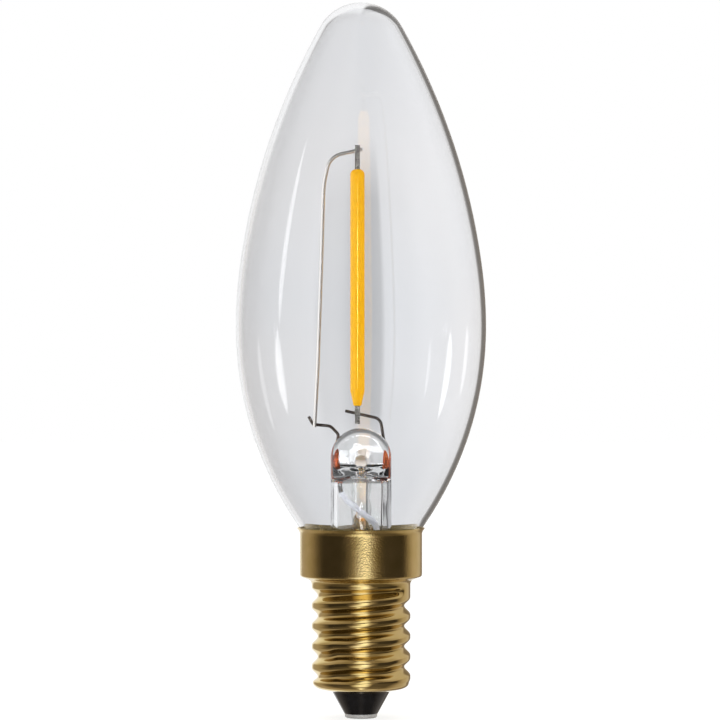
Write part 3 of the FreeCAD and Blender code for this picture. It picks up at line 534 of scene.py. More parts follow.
GLASS_END_Z = 20.4
STEM_R = 4.23
STEM_WALL = 0.75
FLARE_TOP_Z = NECK_END_Z + 3.4
FLARE_BEND_R = 2.4
STEM_TOP_Z = 40.3
DOME_Z = STEM_TOP_Z - STEM_R
HOLLOW_TOP_Z = 33.6
PRESS_HALF = 2.1
PRESS_START_Z = HOLLOW_TOP_Z - 0.2
PRESS_FULL_Z = PRESS_START_Z + 1.8
PRESS_EDGE_POWER = 10
EXHAUST_R = 1.3
EXHAUST_BORE_R = 0.75
EXHAUST_TIP_Z = 16.7
HOLE_R = 0.85
HOLE_Z = HOLLOW_TOP_Z + 2.1
STEM_STEP, DOME_STEP, AROUND_STEM = 0.25, 0.2, 144
print("Stem tube: radius", STEM_R, "mm, hollow radius", round(STEM_R - STEM_WALL, 2), "mm")

# %% Skin of the stem


def pinched(x, y, z):
    """Moves a point of the outer skin to where the jaws leave it, with soft edges."""
    if z <= PRESS_START_Z:
        return x, y, z
    share = min((z - PRESS_START_Z) / (PRESS_FULL_Z - PRESS_START_Z), 1)
    half = STEM_R + (PRESS_HALF - STEM_R) * share * share * (3 - 2 * share)
    return x, y / (1 + (abs(y) / half) ** PRESS_EDGE_POWER) ** (1 / PRESS_EDGE_POWER), z


dome = arc((0, DOME_Z), STEM_R, 0, math.pi / 2, DOME_STEP)
dome[-1, 0] = 0
skin_corners = [
    (NECK_R, GLASS_END_Z),
    (NECK_R, NECK_END_Z),
    (NECK_R - GLASS_WALL, NECK_END_Z),
    (STEM_R, FLARE_TOP_Z, FLARE_BEND_R),
    (STEM_R, DOME_Z),
]
skin = np.concatenate([outline(skin_corners, STEM_STEP), dome[1:]])
hollow_corners = [
    (NECK_R - STEM_WALL, GLASS_END_Z),
    (STEM_R - STEM_WALL, FLARE_TOP_Z, FLARE_BEND_R + STEM_WALL),
    (STEM_R - STEM_WALL, HOLLOW_TOP_Z, 1.0),
    (EXHAUST_R, HOLLOW_TOP_Z, 0.5),
    (EXHAUST_R, EXHAUST_TIP_Z, EXHAUST_R - 0.01),
    (0, EXHAUST_TIP_Z),
]
hollow = outline(hollow_corners, STEM_STEP)
hollow[-1, 0] = 0
skin_vertices, _ = turn_round(skin[::-1], AROUND_STEM, closed=False)
vertices, faces = turn_round(np.concatenate([skin[::-1], hollow]), AROUND_STEM, closed=False)
vertices = [pinched(*v) if i < len(skin_vertices) else v for i, v in enumerate(vertices)]
stem = add_piece("stem_and_exhaust_tube", vertices, faces, stem_glass)

# %% [markdown]
# The exhaust tube's bore bends forward inside the press and ends in a small hole, which was blown
# through the soft glass. A bore can't be part of the turned outline, because it isn't round about the
# axis, so a tube along a bent route is made as a cutter and taken out with an exact boolean.

# %% Bore of the exhaust tube

AROUND_BORE = 32
KNEE_R = 1.2


def tube_along(route, radii, around):
    """Vertices and faces of a closed round tube along a route in the YZ plane."""
    route = np.array(route, float)
    ways = np.gradient(route, axis=0)
    ways /= np.linalg.norm(ways, axis=1)[:, None]
    vertices = []
    for point, way, radius in zip(route, ways, radii):
        side = np.cross((1, 0, 0), way)
        for k in range(around):
            a = 2 * math.pi * k / around
            vertices.append(point + radius * (math.cos(a) * np.array([1, 0, 0]) + math.sin(a) * side))
    faces = [list(range(around))[::-1]]
    for row in range(len(route) - 1):
        for k in range(around):
            low, high = row * around, (row + 1) * around
            faces.append([low + k, low + (k + 1) % around, high + (k + 1) % around, high + k])
    faces.append(list(range((len(route) - 1) * around, len(route) * around)))
    return vertices, faces


bore_foot = EXHAUST_TIP_Z + EXHAUST_R - EXHAUST_BORE_R
foot_shares = np.linspace(0.1, 1, 6)
foot = [(0, 0, bore_foot + EXHAUST_BORE_R * (1 - math.sqrt(1 - share ** 2))) for share in foot_shares]
knee = [
    (0, -KNEE_R + KNEE_R * math.cos(a), HOLE_Z - KNEE_R + KNEE_R * math.sin(a))
    for a in np.linspace(0, math.pi / 2, 9)
]
route = foot + knee + [(0, -PRESS_HALF - 1.5, HOLE_Z)]
radii = [EXHAUST_BORE_R * share for share in foot_shares]
radii += list(np.linspace(EXHAUST_BORE_R, HOLE_R, len(knee))) + [HOLE_R * 1.1]
vertices, faces = tube_along(route, radii, AROUND_BORE)
bore = add_piece("bore", vertices, faces, stem_glass)

# %% Drill it

cut = stem.modifiers.new("bore", "BOOLEAN")
cut.object = bore
cut.operation = "DIFFERENCE"
cut.solver = "EXACT"
evaluated = stem.evaluated_get(bpy.context.evaluated_depsgraph_get())
drilled = bpy.data.meshes.new_from_object(evaluated)
stem.modifiers.clear()
stem.data = drilled
smoothed(drilled)
bpy.data.objects.remove(bore)
print("Drilled stem:", len(drilled.polygons), "faces")

# %% [markdown]
# ## The filament's coat
#
# The CAD coat is right in size, but its mesh has flat facets, and a thin line of highlight needs a
# truly round side. So the same outline is turned again with many more steps: a blunt taper at the foot
# and a rounded top. Silicone is never quite even, so the radius swells by a few thousandths of a
# millimetre along the length, in two waves that don't fit each other.

# %% Coat

COAT_R = 1.02
COAT_FOOT_R = 0.55
COAT_TAPER = 2.1
COAT_TOP_BEND = 0.75
COAT_STEP, AROUND_COAT = 0.3, 64
SWELLS = [(11.0, 0.004, 0.4), (4.3, 0.001, 2.1)]

coat_low, coat_high = (np.array(corner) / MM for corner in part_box("filament_coat"))
foot_z, top_z = coat_low[2], coat_high[2]
coat_corners = [
    (0, foot_z),
    (COAT_FOOT_R, foot_z, 0.1),
    (COAT_R, foot_z + COAT_TAPER, COAT_TAPER),
    (COAT_R, top_z, COAT_TOP_BEND),
    (0, top_z),
]
coat_line = outline(coat_corners, COAT_STEP)
for length, swell, start in SWELLS:
    coat_line[:, 0] *= 1 + swell * np.sin(coat_line[:, 1] * 2 * math.pi / length + start)
vertices, faces = turn_round(coat_line, AROUND_COAT, closed=False)
middle_x, middle_y = (coat_low[:2] + coat_high[:2]) / 2
vertices = [(x + middle_x, y + middle_y, z) for x, y, z in vertices]
coat = add_piece("phosphor_coat", vertices, faces, phosphor)

# %% [markdown]
# ## The screw cap
#
# The cap is one thin sheet, drawn to a cup, flared at its rim and then rolled between two thread rolls.
# So the plain sheet is modelled first, as an outline and its inner side, turned round. Each point keeps
# two notes as mesh attributes: which way the rolls press it, and its height before they do.

# %% Sheet of the cap

SHEET = 0.25
CREST_R = 6.87
COLLAR_R = 8.5
LIP_Z = 3.65
LIP_HOLE_R = 3.95
LIP_SLOPE = math.radians(13)
LIP_CORNER_R = 1.3
SHOULDER_Z = 19.042
RIM_CORNER_Z = 25.792
RIM_R = 8.9
RIM_Z = 26.342
SHEET_STEP, AROUND_CAP = 0.12, 192

sheet_corners = [
    (LIP_HOLE_R, LIP_Z),
    (CREST_R, LIP_Z + (CREST_R - LIP_HOLE_R) * math.tan(LIP_SLOPE), LIP_CORNER_R),
    (CREST_R, SHOULDER_Z, 0.8),
    (COLLAR_R, COLLAR_FOOT, 0.35),
    (COLLAR_R, RIM_CORNER_Z, 0.9),
    (RIM_R, RIM_Z),
]
sheet_line = outline(sheet_corners, SHEET_STEP)
inward = inward_of(sheet_line)
profile = np.concatenate([sheet_line, (sheet_line + inward * SHEET)[::-1]])
vertices, faces = turn_round(profile, AROUND_CAP, closed=True)
cap = add_piece("threaded_cap", vertices, faces, brass)

# %% Notes on each point

rolled_share = (sheet_line[:, 1] < THREAD_TOP + 0.1)[:, None]
rows = np.concatenate([inward * rolled_share, (inward * rolled_share)[::-1]])
heights = np.concatenate([sheet_line[:, 1], sheet_line[::-1, 1]])
angles = np.arange(AROUND_CAP) * 2 * math.pi / AROUND_CAP
press = [(r * math.cos(a), r * math.sin(a), z) for r, z in rows for a in angles]
note = cap.data.attributes.new("press_way", "FLOAT_VECTOR", "POINT")
note.data.foreach_set("vector", np.array(press, np.float32).ravel())
note = cap.data.attributes.new("sheet_height", "FLOAT", "POINT")
note.data.foreach_set("value", np.repeat(heights, AROUND_CAP).astype(np.float32))
print("Points noted:", len(heights) * AROUND_CAP)

# %% [markdown]
# ## Rolling the thread
#
# A rolled thread is a rule: one right-hand groove, its depth a raised cosine across each turn. Vertices
# could be moved in a Python loop, but Geometry Nodes keep the rule visible and its sizes as named
# inputs that can be changed on the modifier. The tree works like the rolls. It counts how many turns a
# point is from the first valley, takes the distance to the nearest valley, and presses the sheet
# inwards by the groove's depth there.

# %% Named inputs of the rolls

THREAD_FOOT = LIP_Z + 0.8
SIZES = {
    "Pitch": 2.822,
    "Depth": 0.84,
    "Groove Share": 0.88,
    "First Valley": 16.96,
    "Thread Top": THREAD_TOP,
    "Full Depth Top": THREAD_TOP - 0.6,
    "Start Angle": 332.0,
    "Full Depth Angle": 318.0,
    "Foot": THREAD_FOOT,
    "Full Depth Foot": THREAD_FOOT + LIP_CORNER_R,
    "Wobble": 0.26,
    "Wobble Size": 4.0,
    "Wobble Seed": 3.7,
}
rolls = bpy.data.node_groups.new("thread_rolls", "GeometryNodeTree")
rolls.interface.new_socket("Geometry", in_out="INPUT", socket_type="NodeSocketGeometry")
rolls.interface.new_socket("Geometry", in_out="OUTPUT", socket_type="NodeSocketGeometry")
for name, size in SIZES.items():
    rolls.interface.new_socket(name, in_out="INPUT", socket_type="NodeSocketFloat").default_value = size
given = add(rolls, "NodeGroupInput").outputs
print("Inputs of the rolls:", len(SIZES))

# %% [markdown]
# The helix: angles are in degrees from +X towards +Y, and the groove rises by one pitch each turn. The
# count of turns is the height in pitches less the angle in turns, so it is a whole number in a valley.

# %% Turns from the first valley

place = add(rolls, "GeometryNodeInputPosition")
parts = add(rolls, "ShaderNodeSeparateXYZ", {0: place}).outputs
angle = add(rolls, MATH, {0: parts[1], 1: parts[0]}, operation="ARCTAN2")
angle = add(rolls, MATH, {0: angle}, operation="DEGREES")
angle = add(rolls, MATH, {0: angle, 1: 360.0}, operation="FLOORED_MODULO")
height = add(rolls, "GeometryNodeInputNamedAttribute", {"Name": "sheet_height"}, data_type="FLOAT")
rise = add(rolls, MATH, {0: height, 1: given["First Valley"]}, operation="SUBTRACT")
rise = add(rolls, MATH, {0: rise, 1: given["Pitch"]}, operation="DIVIDE")
round_share = add(rolls, MATH, {0: angle, 1: -1 / 360, 2: 0.5}, operation="MULTIPLY_ADD")
turns = add(rolls, MATH, {0: rise, 1: round_share}, operation="ADD")
print("Nodes so far:", len(rolls.nodes))

# %% [markdown]
# Real rolls slip a little, and this cap's valleys wander low on its front. A seeded noise adds a small
# part of a turn there, and two soft masks keep it to that side and height.

# %% Wander of the valleys

FRONT_ANGLE, FRONT_REACH = 272.0, (50.0, 30.0)
LOW_HEIGHT, LOW_REACH = 8.4, (4.4, 2.4)


def distance(tree, value, middle):
    """How far a value is from a middle, either side of it."""
    away = add(tree, MATH, {0: value, 1: middle}, operation="SUBTRACT")
    return add(tree, MATH, {0: away}, operation="ABSOLUTE")


scale = add(rolls, MATH, {0: 1 / MM, 1: given["Wobble Size"]}, operation="DIVIDE")
slip = {"Vector": place, "Scale": scale, "Detail": 0.0, "W": given["Wobble Seed"]}
wobble = add(rolls, "ShaderNodeTexNoise", slip, noise_dimensions="4D")
wobble = add(rolls, MATH, {0: wobble, 1: 0.5}, operation="SUBTRACT")
wobble = add(rolls, MATH, {0: wobble, 1: given["Wobble"]}, operation="MULTIPLY")
for value, middle, (edge, full) in ((angle, FRONT_ANGLE, FRONT_REACH), (height, LOW_HEIGHT, LOW_REACH)):
    away = distance(rolls, value, middle)
    mask = add(rolls, MAP, {0: away, 1: edge, 2: full}, interpolation_type="SMOOTHSTEP")
    wobble = add(rolls, MATH, {0: wobble, 1: mask}, operation="MULTIPLY")
turns = add(rolls, MATH, {0: turns, 1: wobble}, operation="ADD")
print("Nodes so far:", len(rolls.nodes))

# %% [markdown]
# The groove: how far the count is from the nearest whole number, as a share of the groove's half width,
# turned into a raised cosine. The crest between two grooves stays plain.

# %% Depth across a groove

nearest = add(rolls, MATH, {0: turns}, operation="ROUND")
offset = distance(rolls, turns, nearest)
offset = add(rolls, MATH, {0: offset, 1: 2 * math.pi}, operation="MULTIPLY")
offset = add(rolls, MATH, {0: offset, 1: given["Groove Share"]}, operation="DIVIDE")
offset = add(rolls, MATH, {0: offset, 1: math.pi}, operation="MINIMUM")
wave = add(rolls, MATH, {0: offset}, operation="COSINE")
wave = add(rolls, MATH, {0: wave, 1: 0.5, 2: 0.5}, operation="MULTIPLY_ADD")
depth = add(rolls, MATH, {0: wave, 1: given["Depth"]}, operation="MULTIPLY")
print("Nodes so far:", len(rolls.nodes))

# %% [markdown]
# The ends: the groove starts at one angle on the right of the front, and nothing lies above its first
# turn. It also fades under the shoulder and at the lip. Each end is a smooth step that scales the depth.

# %% Where the groove starts and ends

in_thread = add(rolls, MATH, {0: nearest, 1: 0.5}, operation="LESS_THAN")
is_first = add(rolls, MATH, {0: nearest, 1: -0.5}, operation="GREATER_THAN")
started = {0: angle, 1: given["Start Angle"], 2: given["Full Depth Angle"]}
started = add(rolls, MAP, started, interpolation_type="SMOOTHSTEP")
started = add(rolls, MIX, {0: is_first, 2: 1.0, 3: started})
below_top = {0: height, 1: given["Thread Top"], 2: given["Full Depth Top"]}
below_top = add(rolls, MAP, below_top, interpolation_type="SMOOTHSTEP")
above_foot = {0: height, 1: given["Foot"], 2: given["Full Depth Foot"]}
above_foot = add(rolls, MAP, above_foot, interpolation_type="SMOOTHSTEP")
for end in (in_thread, started, below_top, above_foot):
    depth = add(rolls, MATH, {0: depth, 1: end}, operation="MULTIPLY")
print("Nodes so far:", len(rolls.nodes))

# %% Press the sheet

MEASURED_FROM, MEASURED_TO = 8.0 * MM, 16.0 * MM

depth = add(rolls, MATH, {0: depth, 1: MM}, operation="MULTIPLY")
way = add(rolls, "GeometryNodeInputNamedAttribute", {"Name": "press_way"}, data_type="FLOAT_VECTOR")
shift = add(rolls, "ShaderNodeVectorMath", {0: way, "Scale": depth}, operation="SCALE")
pressed = add(rolls, "GeometryNodeSetPosition", {"Geometry": given["Geometry"], "Offset": shift})
real = add(rolls, "GeometryNodeRealizeInstances", {0: pressed})
coated = add(rolls, "GeometryNodeSetMaterial", {"Geometry": real, "Material": brass})
add(rolls, "NodeGroupOutput", {0: coated})

modifier = cap.modifiers.new("thread_rolls", "NODES")
modifier.node_group = rolls
for item in rolls.interface.items_tree:
    if item.in_out == "INPUT" and item.name in SIZES:
        modifier[item.identifier] = SIZES[item.name]
evaluated = cap.evaluated_get(bpy.context.evaluated_depsgraph_get())
threaded = bpy.data.meshes.new_from_object(evaluated)
cap.modifiers.clear()
cap.data = threaded
for name in ("press_way", "sheet_height"):
    threaded.attributes.remove(threaded.attributes[name])
middle_part = [v.co for v in threaded.vertices if MEASURED_FROM < v.co.z < MEASURED_TO]
valley = min(math.hypot(at.x, at.y) for at in middle_part) / MM
print("Thread: pitch", SIZES["Pitch"], "inner valley radius", round(valley, 2), "mm")

# %% [markdown]
# ## Put the pieces on the frame
#
# Each new piece stands for the CAD nodes it was made from and rides on the lamp's one body. The other
# nodes keep their CAD meshes, which already have the right shapes, under the finishes given above.

# %% Ride and replace

for piece, slot, nodes in [
    (envelope, "bulb_glass", ["glass_bulb"]),
    (stem, "stem_glass", ["stem_glass", "exhaust_tube"]),
    (cap, "cap_brass", ["cap_shell"]),
    (coat, "phosphor_coat", ["filament_coat"]),
]:
    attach(piece, BODY)
    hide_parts(*nodes)
    print(piece.name, "stands for", nodes)

# %% [markdown]
# ## Room light
#
# What makes clear glass and brass readable is what they reflect, so the room has a pattern: white
# behind, a soft light in front, dark walls at both sides, a narrow dark card behind on the right that
# draws the glass's dark edge, and window strips. Real lamps and cards could stand round the table, but a
# world that works out its light from the direction is quicker and has no noise. Camera rays see plain
# white, and what falls on dull surfaces comes evenly from everywhere. Two angles say where a ray goes:
# degrees to the right of the camera's side, and degrees above the horizon.

# %% Directions in the room

world = bpy.data.worlds.new("white_studio")
bpy.context.scene.world = world
world.use_nodes = True
world.cycles.sampling_method = "NONE"
tree = world.node_tree
tree.nodes.clear()
way = add(tree, "ShaderNodeTexCoord").outputs["Generated"]
way = add(tree, "ShaderNodeSeparateXYZ", {0: way}).outputs
front = add(tree, MATH, {0: way[1], 1: -1.0}, operation="MULTIPLY")
turn = add(tree, MATH, {0: way[0], 1: front}, operation="ARCTAN2")
turn = add(tree, MATH, {0: turn}, operation="DEGREES")
turn_share = add(tree, MAP, {0: turn, 1: -180.0, 2: 180.0})
rise = add(tree, MATH, {0: way[2]}, operation="ARCSINE")
rise = add(tree, MATH, {0: rise}, operation="DEGREES")
print("World nodes so far:", len(tree.nodes))

# %% [markdown]
# A level that changes round the room is a Float Curve over the turn, with straight runs between its
# points. A Color Ramp could do it too, but it holds no level above 1.

# %% Light round the room


def draw(curve_node, low, high, stops):
    """Sets a Float Curve's points from (place, level) stops and returns the node."""
    curve = curve_node.mapping.curves[0]
    curve_node.mapping.use_clip = False
    for at, level in stops[1:-1]:
        curve.points.new((at - low) / (high - low), level)
    curve.points[0].location = (0, stops[0][1])
    curve.points[-1].location = (1, stops[-1][1])
    for point in curve.points:
        point.handle_type = "VECTOR"
    curve_node.mapping.update()
    return curve_node


def by_rise(start, end, first, second):
    """One light below a height in the room and another beyond it, with a soft change."""
    share = add(tree, MAP, {0: rise, 1: start, 2: end})
    return add(tree, MIX, {0: share, 2: first, 3: second})


BACK_LEFT = [(-180, 1.0), (-156, 1.0), (-149, 0.45), (-120, 0.42)]
BACK_RIGHT = [(115, 0.5), (145, 0.6), (152, 0.3), (170, 0.3), (174, 1.0), (180, 1.0)]
ROUND = {
    # What the collar and the upright parts of the thread face
    "level": BACK_LEFT + [
        (-105, 0.33), (-91, 0.15), (-78, 0.04), (-36, 0.04), (-22, 0.14), (-12, 0.4), (-3, 0.85), (4, 1.5),
        (12, 1.6), (21, 0.55), (32, 0.2), (42, 0.06), (86, 0.04), (92, 0.06), (101, 0.28),
    ] + BACK_RIGHT,
    # What the belly of the glass faces: the same, without the soft light in front
    "belly": BACK_LEFT + [
        (-105, 0.25), (-91, 0.1), (-78, 0.04), (-36, 0.04), (0, 0.1), (45, 0.05), (86, 0.06), (100, 0.28),
    ] + BACK_RIGHT,
    # What slopes that face upwards or downwards see
    "above": [
        (-180, 1.0), (-150, 1.0), (-120, 0.5), (-100, 0.45), (-75, 0.4), (-50, 0.3), (-22, 0.3), (-4, 1.3),
        (10, 1.3), (25, 0.3), (50, 0.25), (80, 0.45), (110, 0.6), (145, 0.6), (152, 0.25), (172, 0.25),
        (176, 1.0), (180, 1.0),
    ],
    "under": [
        (-180, 1.0), (-156, 1.0), (-149, 0.45), (-120, 0.4), (-100, 0.2), (-80, 0.08), (-30, 0.1), (-4, 1.3),
        (10, 1.3), (28, 0.12), (80, 0.1), (110, 0.4), (145, 0.6), (152, 0.25), (172, 0.25), (176, 1.0),
        (180, 1.0),
    ],
    # What the black insulator faces
    "ring": [
        (-180, 0.5), (-120, 0.4), (-80, 0.15), (-30, 0.15), (0, 0.3), (30, 0.15), (80, 0.15), (120, 0.4),
        (180, 0.5),
    ],
    # What the lowest slopes see
    "floor": [
        (-180, 0.6), (-120, 0.5), (-100, 0.3), (-80, 0.17), (-50, 0.17), (-25, 0.4), (-5, 1.6), (5, 1.6),
        (25, 0.7), (50, 0.25), (80, 0.35), (110, 0.7), (180, 0.6),
    ],
    # What the inside of the glass wall reflects: white at the left edge, a dark card at the right edge
    "glass": [
        (-180, 1.0), (-150, 1.0), (-140, 0.4), (-125, 0.1), (-36, 0.05), (0, 0.1), (36, 0.1), (80, 0.15),
        (100, 0.4), (120, 0.7), (148, 0.8), (152, 0.18), (173, 0.18), (176, 1.0), (180, 1.0),
    ],
    # What the wires inside the glass face: a white tent, open on the right
    "tent": [
        (-180, 1.0), (-150, 0.9), (-110, 1.6), (-70, 1.8), (-32, 1.6), (-14, 0.3), (15, 0.3), (40, 0.4),
        (80, 0.35), (130, 0.15), (155, 0.7), (180, 1.0),
    ],
}

# Degrees above the horizon where each light starts and where it is full
LAYERS = [
    (-2.2, -1.2, "belly"), (6.0, 16.0, "above"), (-9.0, -18.0, "under"), (-50.0, -57.0, "ring"),
    (-67.0, -75.0, "floor"),
]
CEILING, CEILING_LEVEL = (82.0, 88.0), 0.08

light = {
    name: draw(add(tree, "ShaderNodeFloatCurve", {"Value": turn_share}), -180, 180, stops)
    for name, stops in ROUND.items()
}
brass_room = light["level"]
for start, full, name in LAYERS:
    brass_room = by_rise(start, full, brass_room, light[name])
brass_room = by_rise(*CEILING, brass_room, CEILING_LEVEL)
print("Levels round the room:", {name: len(stops) for name, stops in ROUND.items()})

# %% [markdown]
# Long thin windows draw the soft streaks on the glass, and one narrow strip in front draws the line of
# highlight down the filament. Each is a place in the room with soft edges: its middle and half width in
# turn, its middle and half height in rise, and its strength.

# %% Windows

WINDOWS = [
    (-82.0, 3.5, 17.0, 17.0, 5.0), (-85.0, 6.0, -12.0, 12.0, 6.0), (-112.0, 4.0, -12.0, 11.0, 1.5),
    (92.0, 5.0, -12.0, 12.0, 6.0), (68.0, 2.0, -12.0, 10.0, 2.4), (117.0, 4.0, -6.0, 8.0, 2.0),
]
FILAMENT_LINE = [(1.3, 7.4, 1.25, 2.15, 22.0)]
END_SHARPNESS = 3.0
WINDOW_EDGE, LINE_EDGE = 0.5, 0.2
TENT_TOP, TENT_TOP_LEVEL = (15.0, 40.0), 0.15
TENT_FLOOR, TENT_FLOOR_LEVEL = (-18.0, -45.0), 0.35


def with_windows(total, places, edge):
    """Adds windows to a light. The edge is the share of each that is soft."""
    for middle, half, mid_rise, half_rise, strength in places:
        across = distance(tree, turn, middle)
        across = add(tree, MATH, {0: across, 1: half}, operation="DIVIDE")
        along = distance(tree, rise, mid_rise)
        along = add(tree, MATH, {0: along, 1: half_rise}, operation="DIVIDE")
        along = add(tree, MATH, {0: along, 1: END_SHARPNESS}, operation="POWER")
        reach = add(tree, MATH, {0: across, 1: along}, operation="ADD")
        glow = add(tree, MAP, {0: reach, 1: 1.0, 2: 1.0 - edge, 4: strength})
        total = add(tree, MATH, {0: total, 1: glow}, operation="ADD")
    return total


glass_room = with_windows(light["glass"], WINDOWS, WINDOW_EDGE)
tent = by_rise(*TENT_TOP, light["tent"], TENT_TOP_LEVEL)
tent = by_rise(*TENT_FLOOR, tent, TENT_FLOOR_LEVEL)
tent = with_windows(tent, FILAMENT_LINE, LINE_EDGE)
print("Windows:", len(WINDOWS), "and one strip, of strength", FILAMENT_LINE[0][-1])

# %% [markdown]
# The backdrop seen straight through the glass is white at the sides and a little greyer behind the
# filament. That grey is painted shade: it stands in for the dark halo round the filament in the glass.
# Its angle is counted from straight behind, because the turn jumps there.

# %% Backdrop through the glass

EDGE = 2.2
# Levels of the backdrop; the dip behind the filament is painted shade
PAINTED_SHADE = [
    (-EDGE, 0.95), (-1.5, 0.98), (-1.2, 0.86), (-0.9, 0.88), (-0.6, 0.87), (-0.36, 0.79), (0.0, 0.66),
    (0.2, 0.63), (0.6, 0.68), (0.74, 0.91), (1.6, 0.91), (EDGE, 0.95),
]
PLAIN = [(-EDGE, 0.95), (-0.8, 0.98), (0.0, 0.96), (EDGE, 0.97)]
SHADE_TOP, SHADE_FOOT = (3.1, 4.2), (-1.5, -2.3)

across = add(tree, MATH, {0: way[0], 1: way[1]}, operation="ARCTAN2")
across = add(tree, MATH, {0: across}, operation="DEGREES")
across = add(tree, MAP, {0: across, 1: -EDGE, 2: EDGE})
painted_shade = draw(add(tree, "ShaderNodeFloatCurve", {"Value": across}), -EDGE, EDGE, PAINTED_SHADE)
plain = draw(add(tree, "ShaderNodeFloatCurve", {"Value": across}), -EDGE, EDGE, PLAIN)
backdrop = by_rise(*SHADE_TOP, painted_shade, plain)
backdrop = by_rise(*SHADE_FOOT, backdrop, plain)
print("World nodes so far:", len(tree.nodes))

# %% [markdown]
# Which of these lights a ray sees depends on what it met before, and the Light Path node counts that. A
# ray that only went through glass sees the backdrop, one that bounced off the brass sees the room, one
# that bounced inside the glass wall sees the windows, and one that bounced behind that wall sees the
# tent. Rays that cross the stem are bent steeply and see the darker room above and below.

# %% Choose the light by the ray's path

BENT_RISE, BENT_LEVEL = (8.0, 25.0), 0.3
UNLIT_TURN, UNLIT_REACH, UNLIT_LEVEL = 8.0, (15.0, 45.0), 0.08

# Each name is true for a ray that has passed its count
path = add(tree, "ShaderNodeLightPath").outputs
reflected, scattered, in_wall, from_inside, through_stem = (
    add(tree, MATH, {0: path[count], 1: passed}, operation="GREATER_THAN")
    for count, passed in [
        ("Glossy Depth", 0.5), ("Diffuse Depth", 0.5), ("Transmission Depth", 0.5),
        ("Transmission Depth", 2.5), ("Transmission Depth", 5.5),
    ]
)

steepness = add(tree, MATH, {0: rise}, operation="ABSOLUTE")
steepness = add(tree, MAP, {0: steepness, 1: BENT_RISE[0], 2: BENT_RISE[1]})
bent = add(tree, MATH, {0: through_stem, 1: steepness}, operation="MULTIPLY")
backdrop = add(tree, MIX, {0: bent, 2: backdrop, 3: BENT_LEVEL})

# The glass's outer skin is a sharp mirror, which tells it from the brass. It faces the front unlit, or
# a pale veil would lie over the filament.
beside = distance(tree, turn, UNLIT_TURN)
unlit_front = add(tree, MAP, {0: beside, 1: UNLIT_REACH[0], 2: UNLIT_REACH[1], 3: UNLIT_LEVEL, 4: 1.0})
skin_room = add(tree, MATH, {0: brass_room, 1: unlit_front}, operation="MULTIPLY")
outer_room = add(tree, MIX, {0: path["Is Singular Ray"], 2: brass_room, 3: skin_room})
mirrored = add(tree, MIX, {0: in_wall, 2: outer_room, 3: glass_room})
mirrored = add(tree, MIX, {0: from_inside, 2: mirrored, 3: tent})
seen = add(tree, MIX, {0: reflected, 2: backdrop, 3: mirrored})
print("World nodes so far:", len(tree.nodes))

# %% [markdown]
# Dull surfaces inside the glass lose light at every wall, in and out. The plain light on them grows by
# the same share with each wall it crosses, and a little more in the stem, which leads much of it down
# into the dark cap. So their colours come out as written.

# %% Plain light, and the world's output

PLAIN_LEVEL = 1.1
REGAIN = 1.15
STEM_REGAIN = 0.7
WARM_WALLS = "#FFEAD2"
NEUTRAL_LEVEL, WARM_LEVEL = 0.9, 0.25

regained = add(tree, MATH, {0: REGAIN, 1: path["Transmission Depth"]}, operation="POWER")
even = add(tree, MATH, {0: regained, 1: PLAIN_LEVEL}, operation="MULTIPLY")
stem_gain = add(tree, MATH, {0: through_stem, 1: STEM_REGAIN, 2: 1.0}, operation="MULTIPLY_ADD")
even = add(tree, MATH, {0: even, 1: stem_gain}, operation="MULTIPLY")
glossy = add(tree, MATH, {0: path["Is Glossy Ray"], 1: path["Is Transmission Ray"]}, operation="MAXIMUM")
glossy = add(tree, MATH, {0: glossy, 1: scattered}, operation="SUBTRACT", use_clamp=True)
level = add(tree, MIX, {0: glossy, 2: even, 3: seen})
level = add(tree, MIX, {0: path["Is Camera Ray"], 2: level, 3: 1.0})

# The dark walls are a warm brown, which only the brass in front of them shows
warmth = add(tree, MAP, {0: brass_room, 1: NEUTRAL_LEVEL, 2: WARM_LEVEL})
warmth = add(tree, MATH, {0: warmth, 1: reflected}, operation="MULTIPLY")
for other in (in_wall, scattered):
    warmth = add(tree, MATH, {0: warmth, 1: other}, operation="SUBTRACT", use_clamp=True)
tint = add(tree, MIX, {0: warmth, 6: (1, 1, 1, 1), 7: linear(WARM_WALLS)}, data_type="RGBA").outputs[2]
background = add(tree, "ShaderNodeBackground", {"Color": tint, "Strength": level})
add(tree, "ShaderNodeOutputWorld", {0: background})
print("World nodes:", len(tree.nodes))

# %% [markdown]
# ## Table
#
# The candle lamp stands on a plain table. Its grey and a glow that only camera rays see add up to
# white where nothing shades it, so it meets the white backdrop without a line and still keeps the soft
# shadow. A brighter softbox would whiten it too, but would also bleach the colours.

# %% Table

TABLE_GLOW = 0.74
TABLE_FRONT, TABLE_BACK, TABLE_SIDE = -0.06, 1.6, 1.4
TABLE_DROP = -0.1 * MM

# Painted board: matt grey, which the glow turns white for the camera
white_table = finish(
    "painted_white_board", "#9B9B9B", "#9D9D9D", (0.6, 0.6), 3.0, 0.0, Specular_IOR_Level=0.0
)
tree = white_table.node_tree
path = add(tree, "ShaderNodeLightPath").outputs
seen = add(tree, MATH, {0: path["Is Camera Ray"], 1: TABLE_GLOW}, operation="MULTIPLY")
glow = add(tree, "ShaderNodeEmission", {"Color": (1, 1, 1, 1), "Strength": seen})
both = add(tree, "ShaderNodeAddShader", {0: tree.nodes["Principled BSDF"], 1: glow})
tree.links.new(both.outputs[0], tree.nodes["Material Output"].inputs[0])

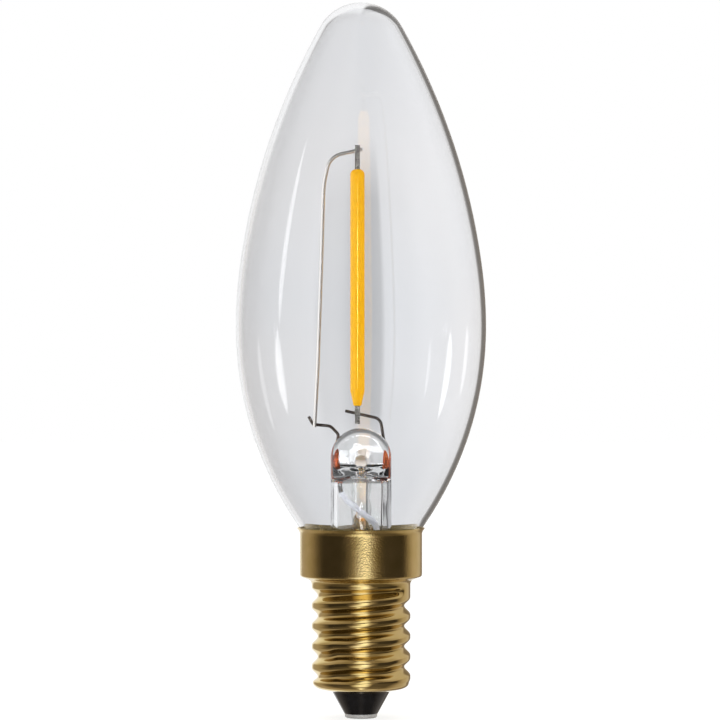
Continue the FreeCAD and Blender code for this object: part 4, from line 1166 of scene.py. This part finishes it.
mesh = bpy.data.meshes.new("white_table")
front_edge = [(x, TABLE_FRONT, TABLE_DROP) for x in (-TABLE_SIDE, TABLE_SIDE)]
back_edge = [(x, TABLE_BACK, TABLE_DROP) for x in (TABLE_SIDE, -TABLE_SIDE)]
mesh.from_pydata(front_edge + back_edge, [], [(0, 1, 2, 3)])
mesh.materials.append(white_table)
table = bpy.data.objects.new("white_table", mesh)
bpy.context.scene.collection.objects.link(table)
table.visible_glossy = False
table.visible_transmission = False
print("Table:", 2 * TABLE_SIDE, "m wide, glow", TABLE_GLOW)

# %% [markdown]
# ## Lamp over the table
#
# A softbox above on the left gives the shadow its direction. It is hidden from the rays of reflections
# and of clear glass, because the room's pattern already gives what they show.

# %% Softbox

SOFTBOX_SIDE, SOFTBOX_WATTS = 0.5, 0.6
SOFTBOX_PLACE, SOFTBOX_AIM = Vector((-0.3, -0.45, 0.6)), Vector((0, 0, 0.05))

light_data = bpy.data.lights.new("overhead_softbox", "AREA")
light_data.shape = "SQUARE"
light_data.size = SOFTBOX_SIDE
light_data.energy = SOFTBOX_WATTS
softbox = bpy.data.objects.new("overhead_softbox", light_data)
softbox.location = SOFTBOX_PLACE
softbox.rotation_euler = (SOFTBOX_AIM - SOFTBOX_PLACE).to_track_quat("-Z", "Y").to_euler()
softbox.visible_glossy = False
softbox.visible_transmission = False
bpy.context.scene.collection.objects.link(softbox)
print("Softbox:", SOFTBOX_SIDE, "m square,", SOFTBOX_WATTS, "W")

# %% [markdown]
# ## Camera
#
# The photograph was taken level with the middle of the lamp, about half a metre away with a long lens,
# so upright lines stay upright. Light passes eight or more glass surfaces on its way through the stem,
# so more bounces are allowed than usual, or it would turn black.

# %% Camera

CAMERA_SIDE, CAMERA_AWAY, CAMERA_HEIGHT = -0.14, 480, 49.7
LENS_MM = 172.6
BOUNCES = 32

scene = bpy.context.scene
camera = bpy.data.objects.new("camera", bpy.data.cameras.new("camera"))
scene.collection.objects.link(camera)
camera.location = (CAMERA_SIDE * MM, -CAMERA_AWAY * MM, CAMERA_HEIGHT * MM)
camera.rotation_euler = (math.pi / 2, 0, 0)
camera.data.lens = LENS_MM
scene.camera = camera
scene.view_settings.view_transform = "Standard"
scene.cycles.max_bounces = scene.cycles.transmission_bounces = BOUNCES
print("Camera:", CAMERA_AWAY, "mm away, lens", LENS_MM, "mm, bounces", BOUNCES)
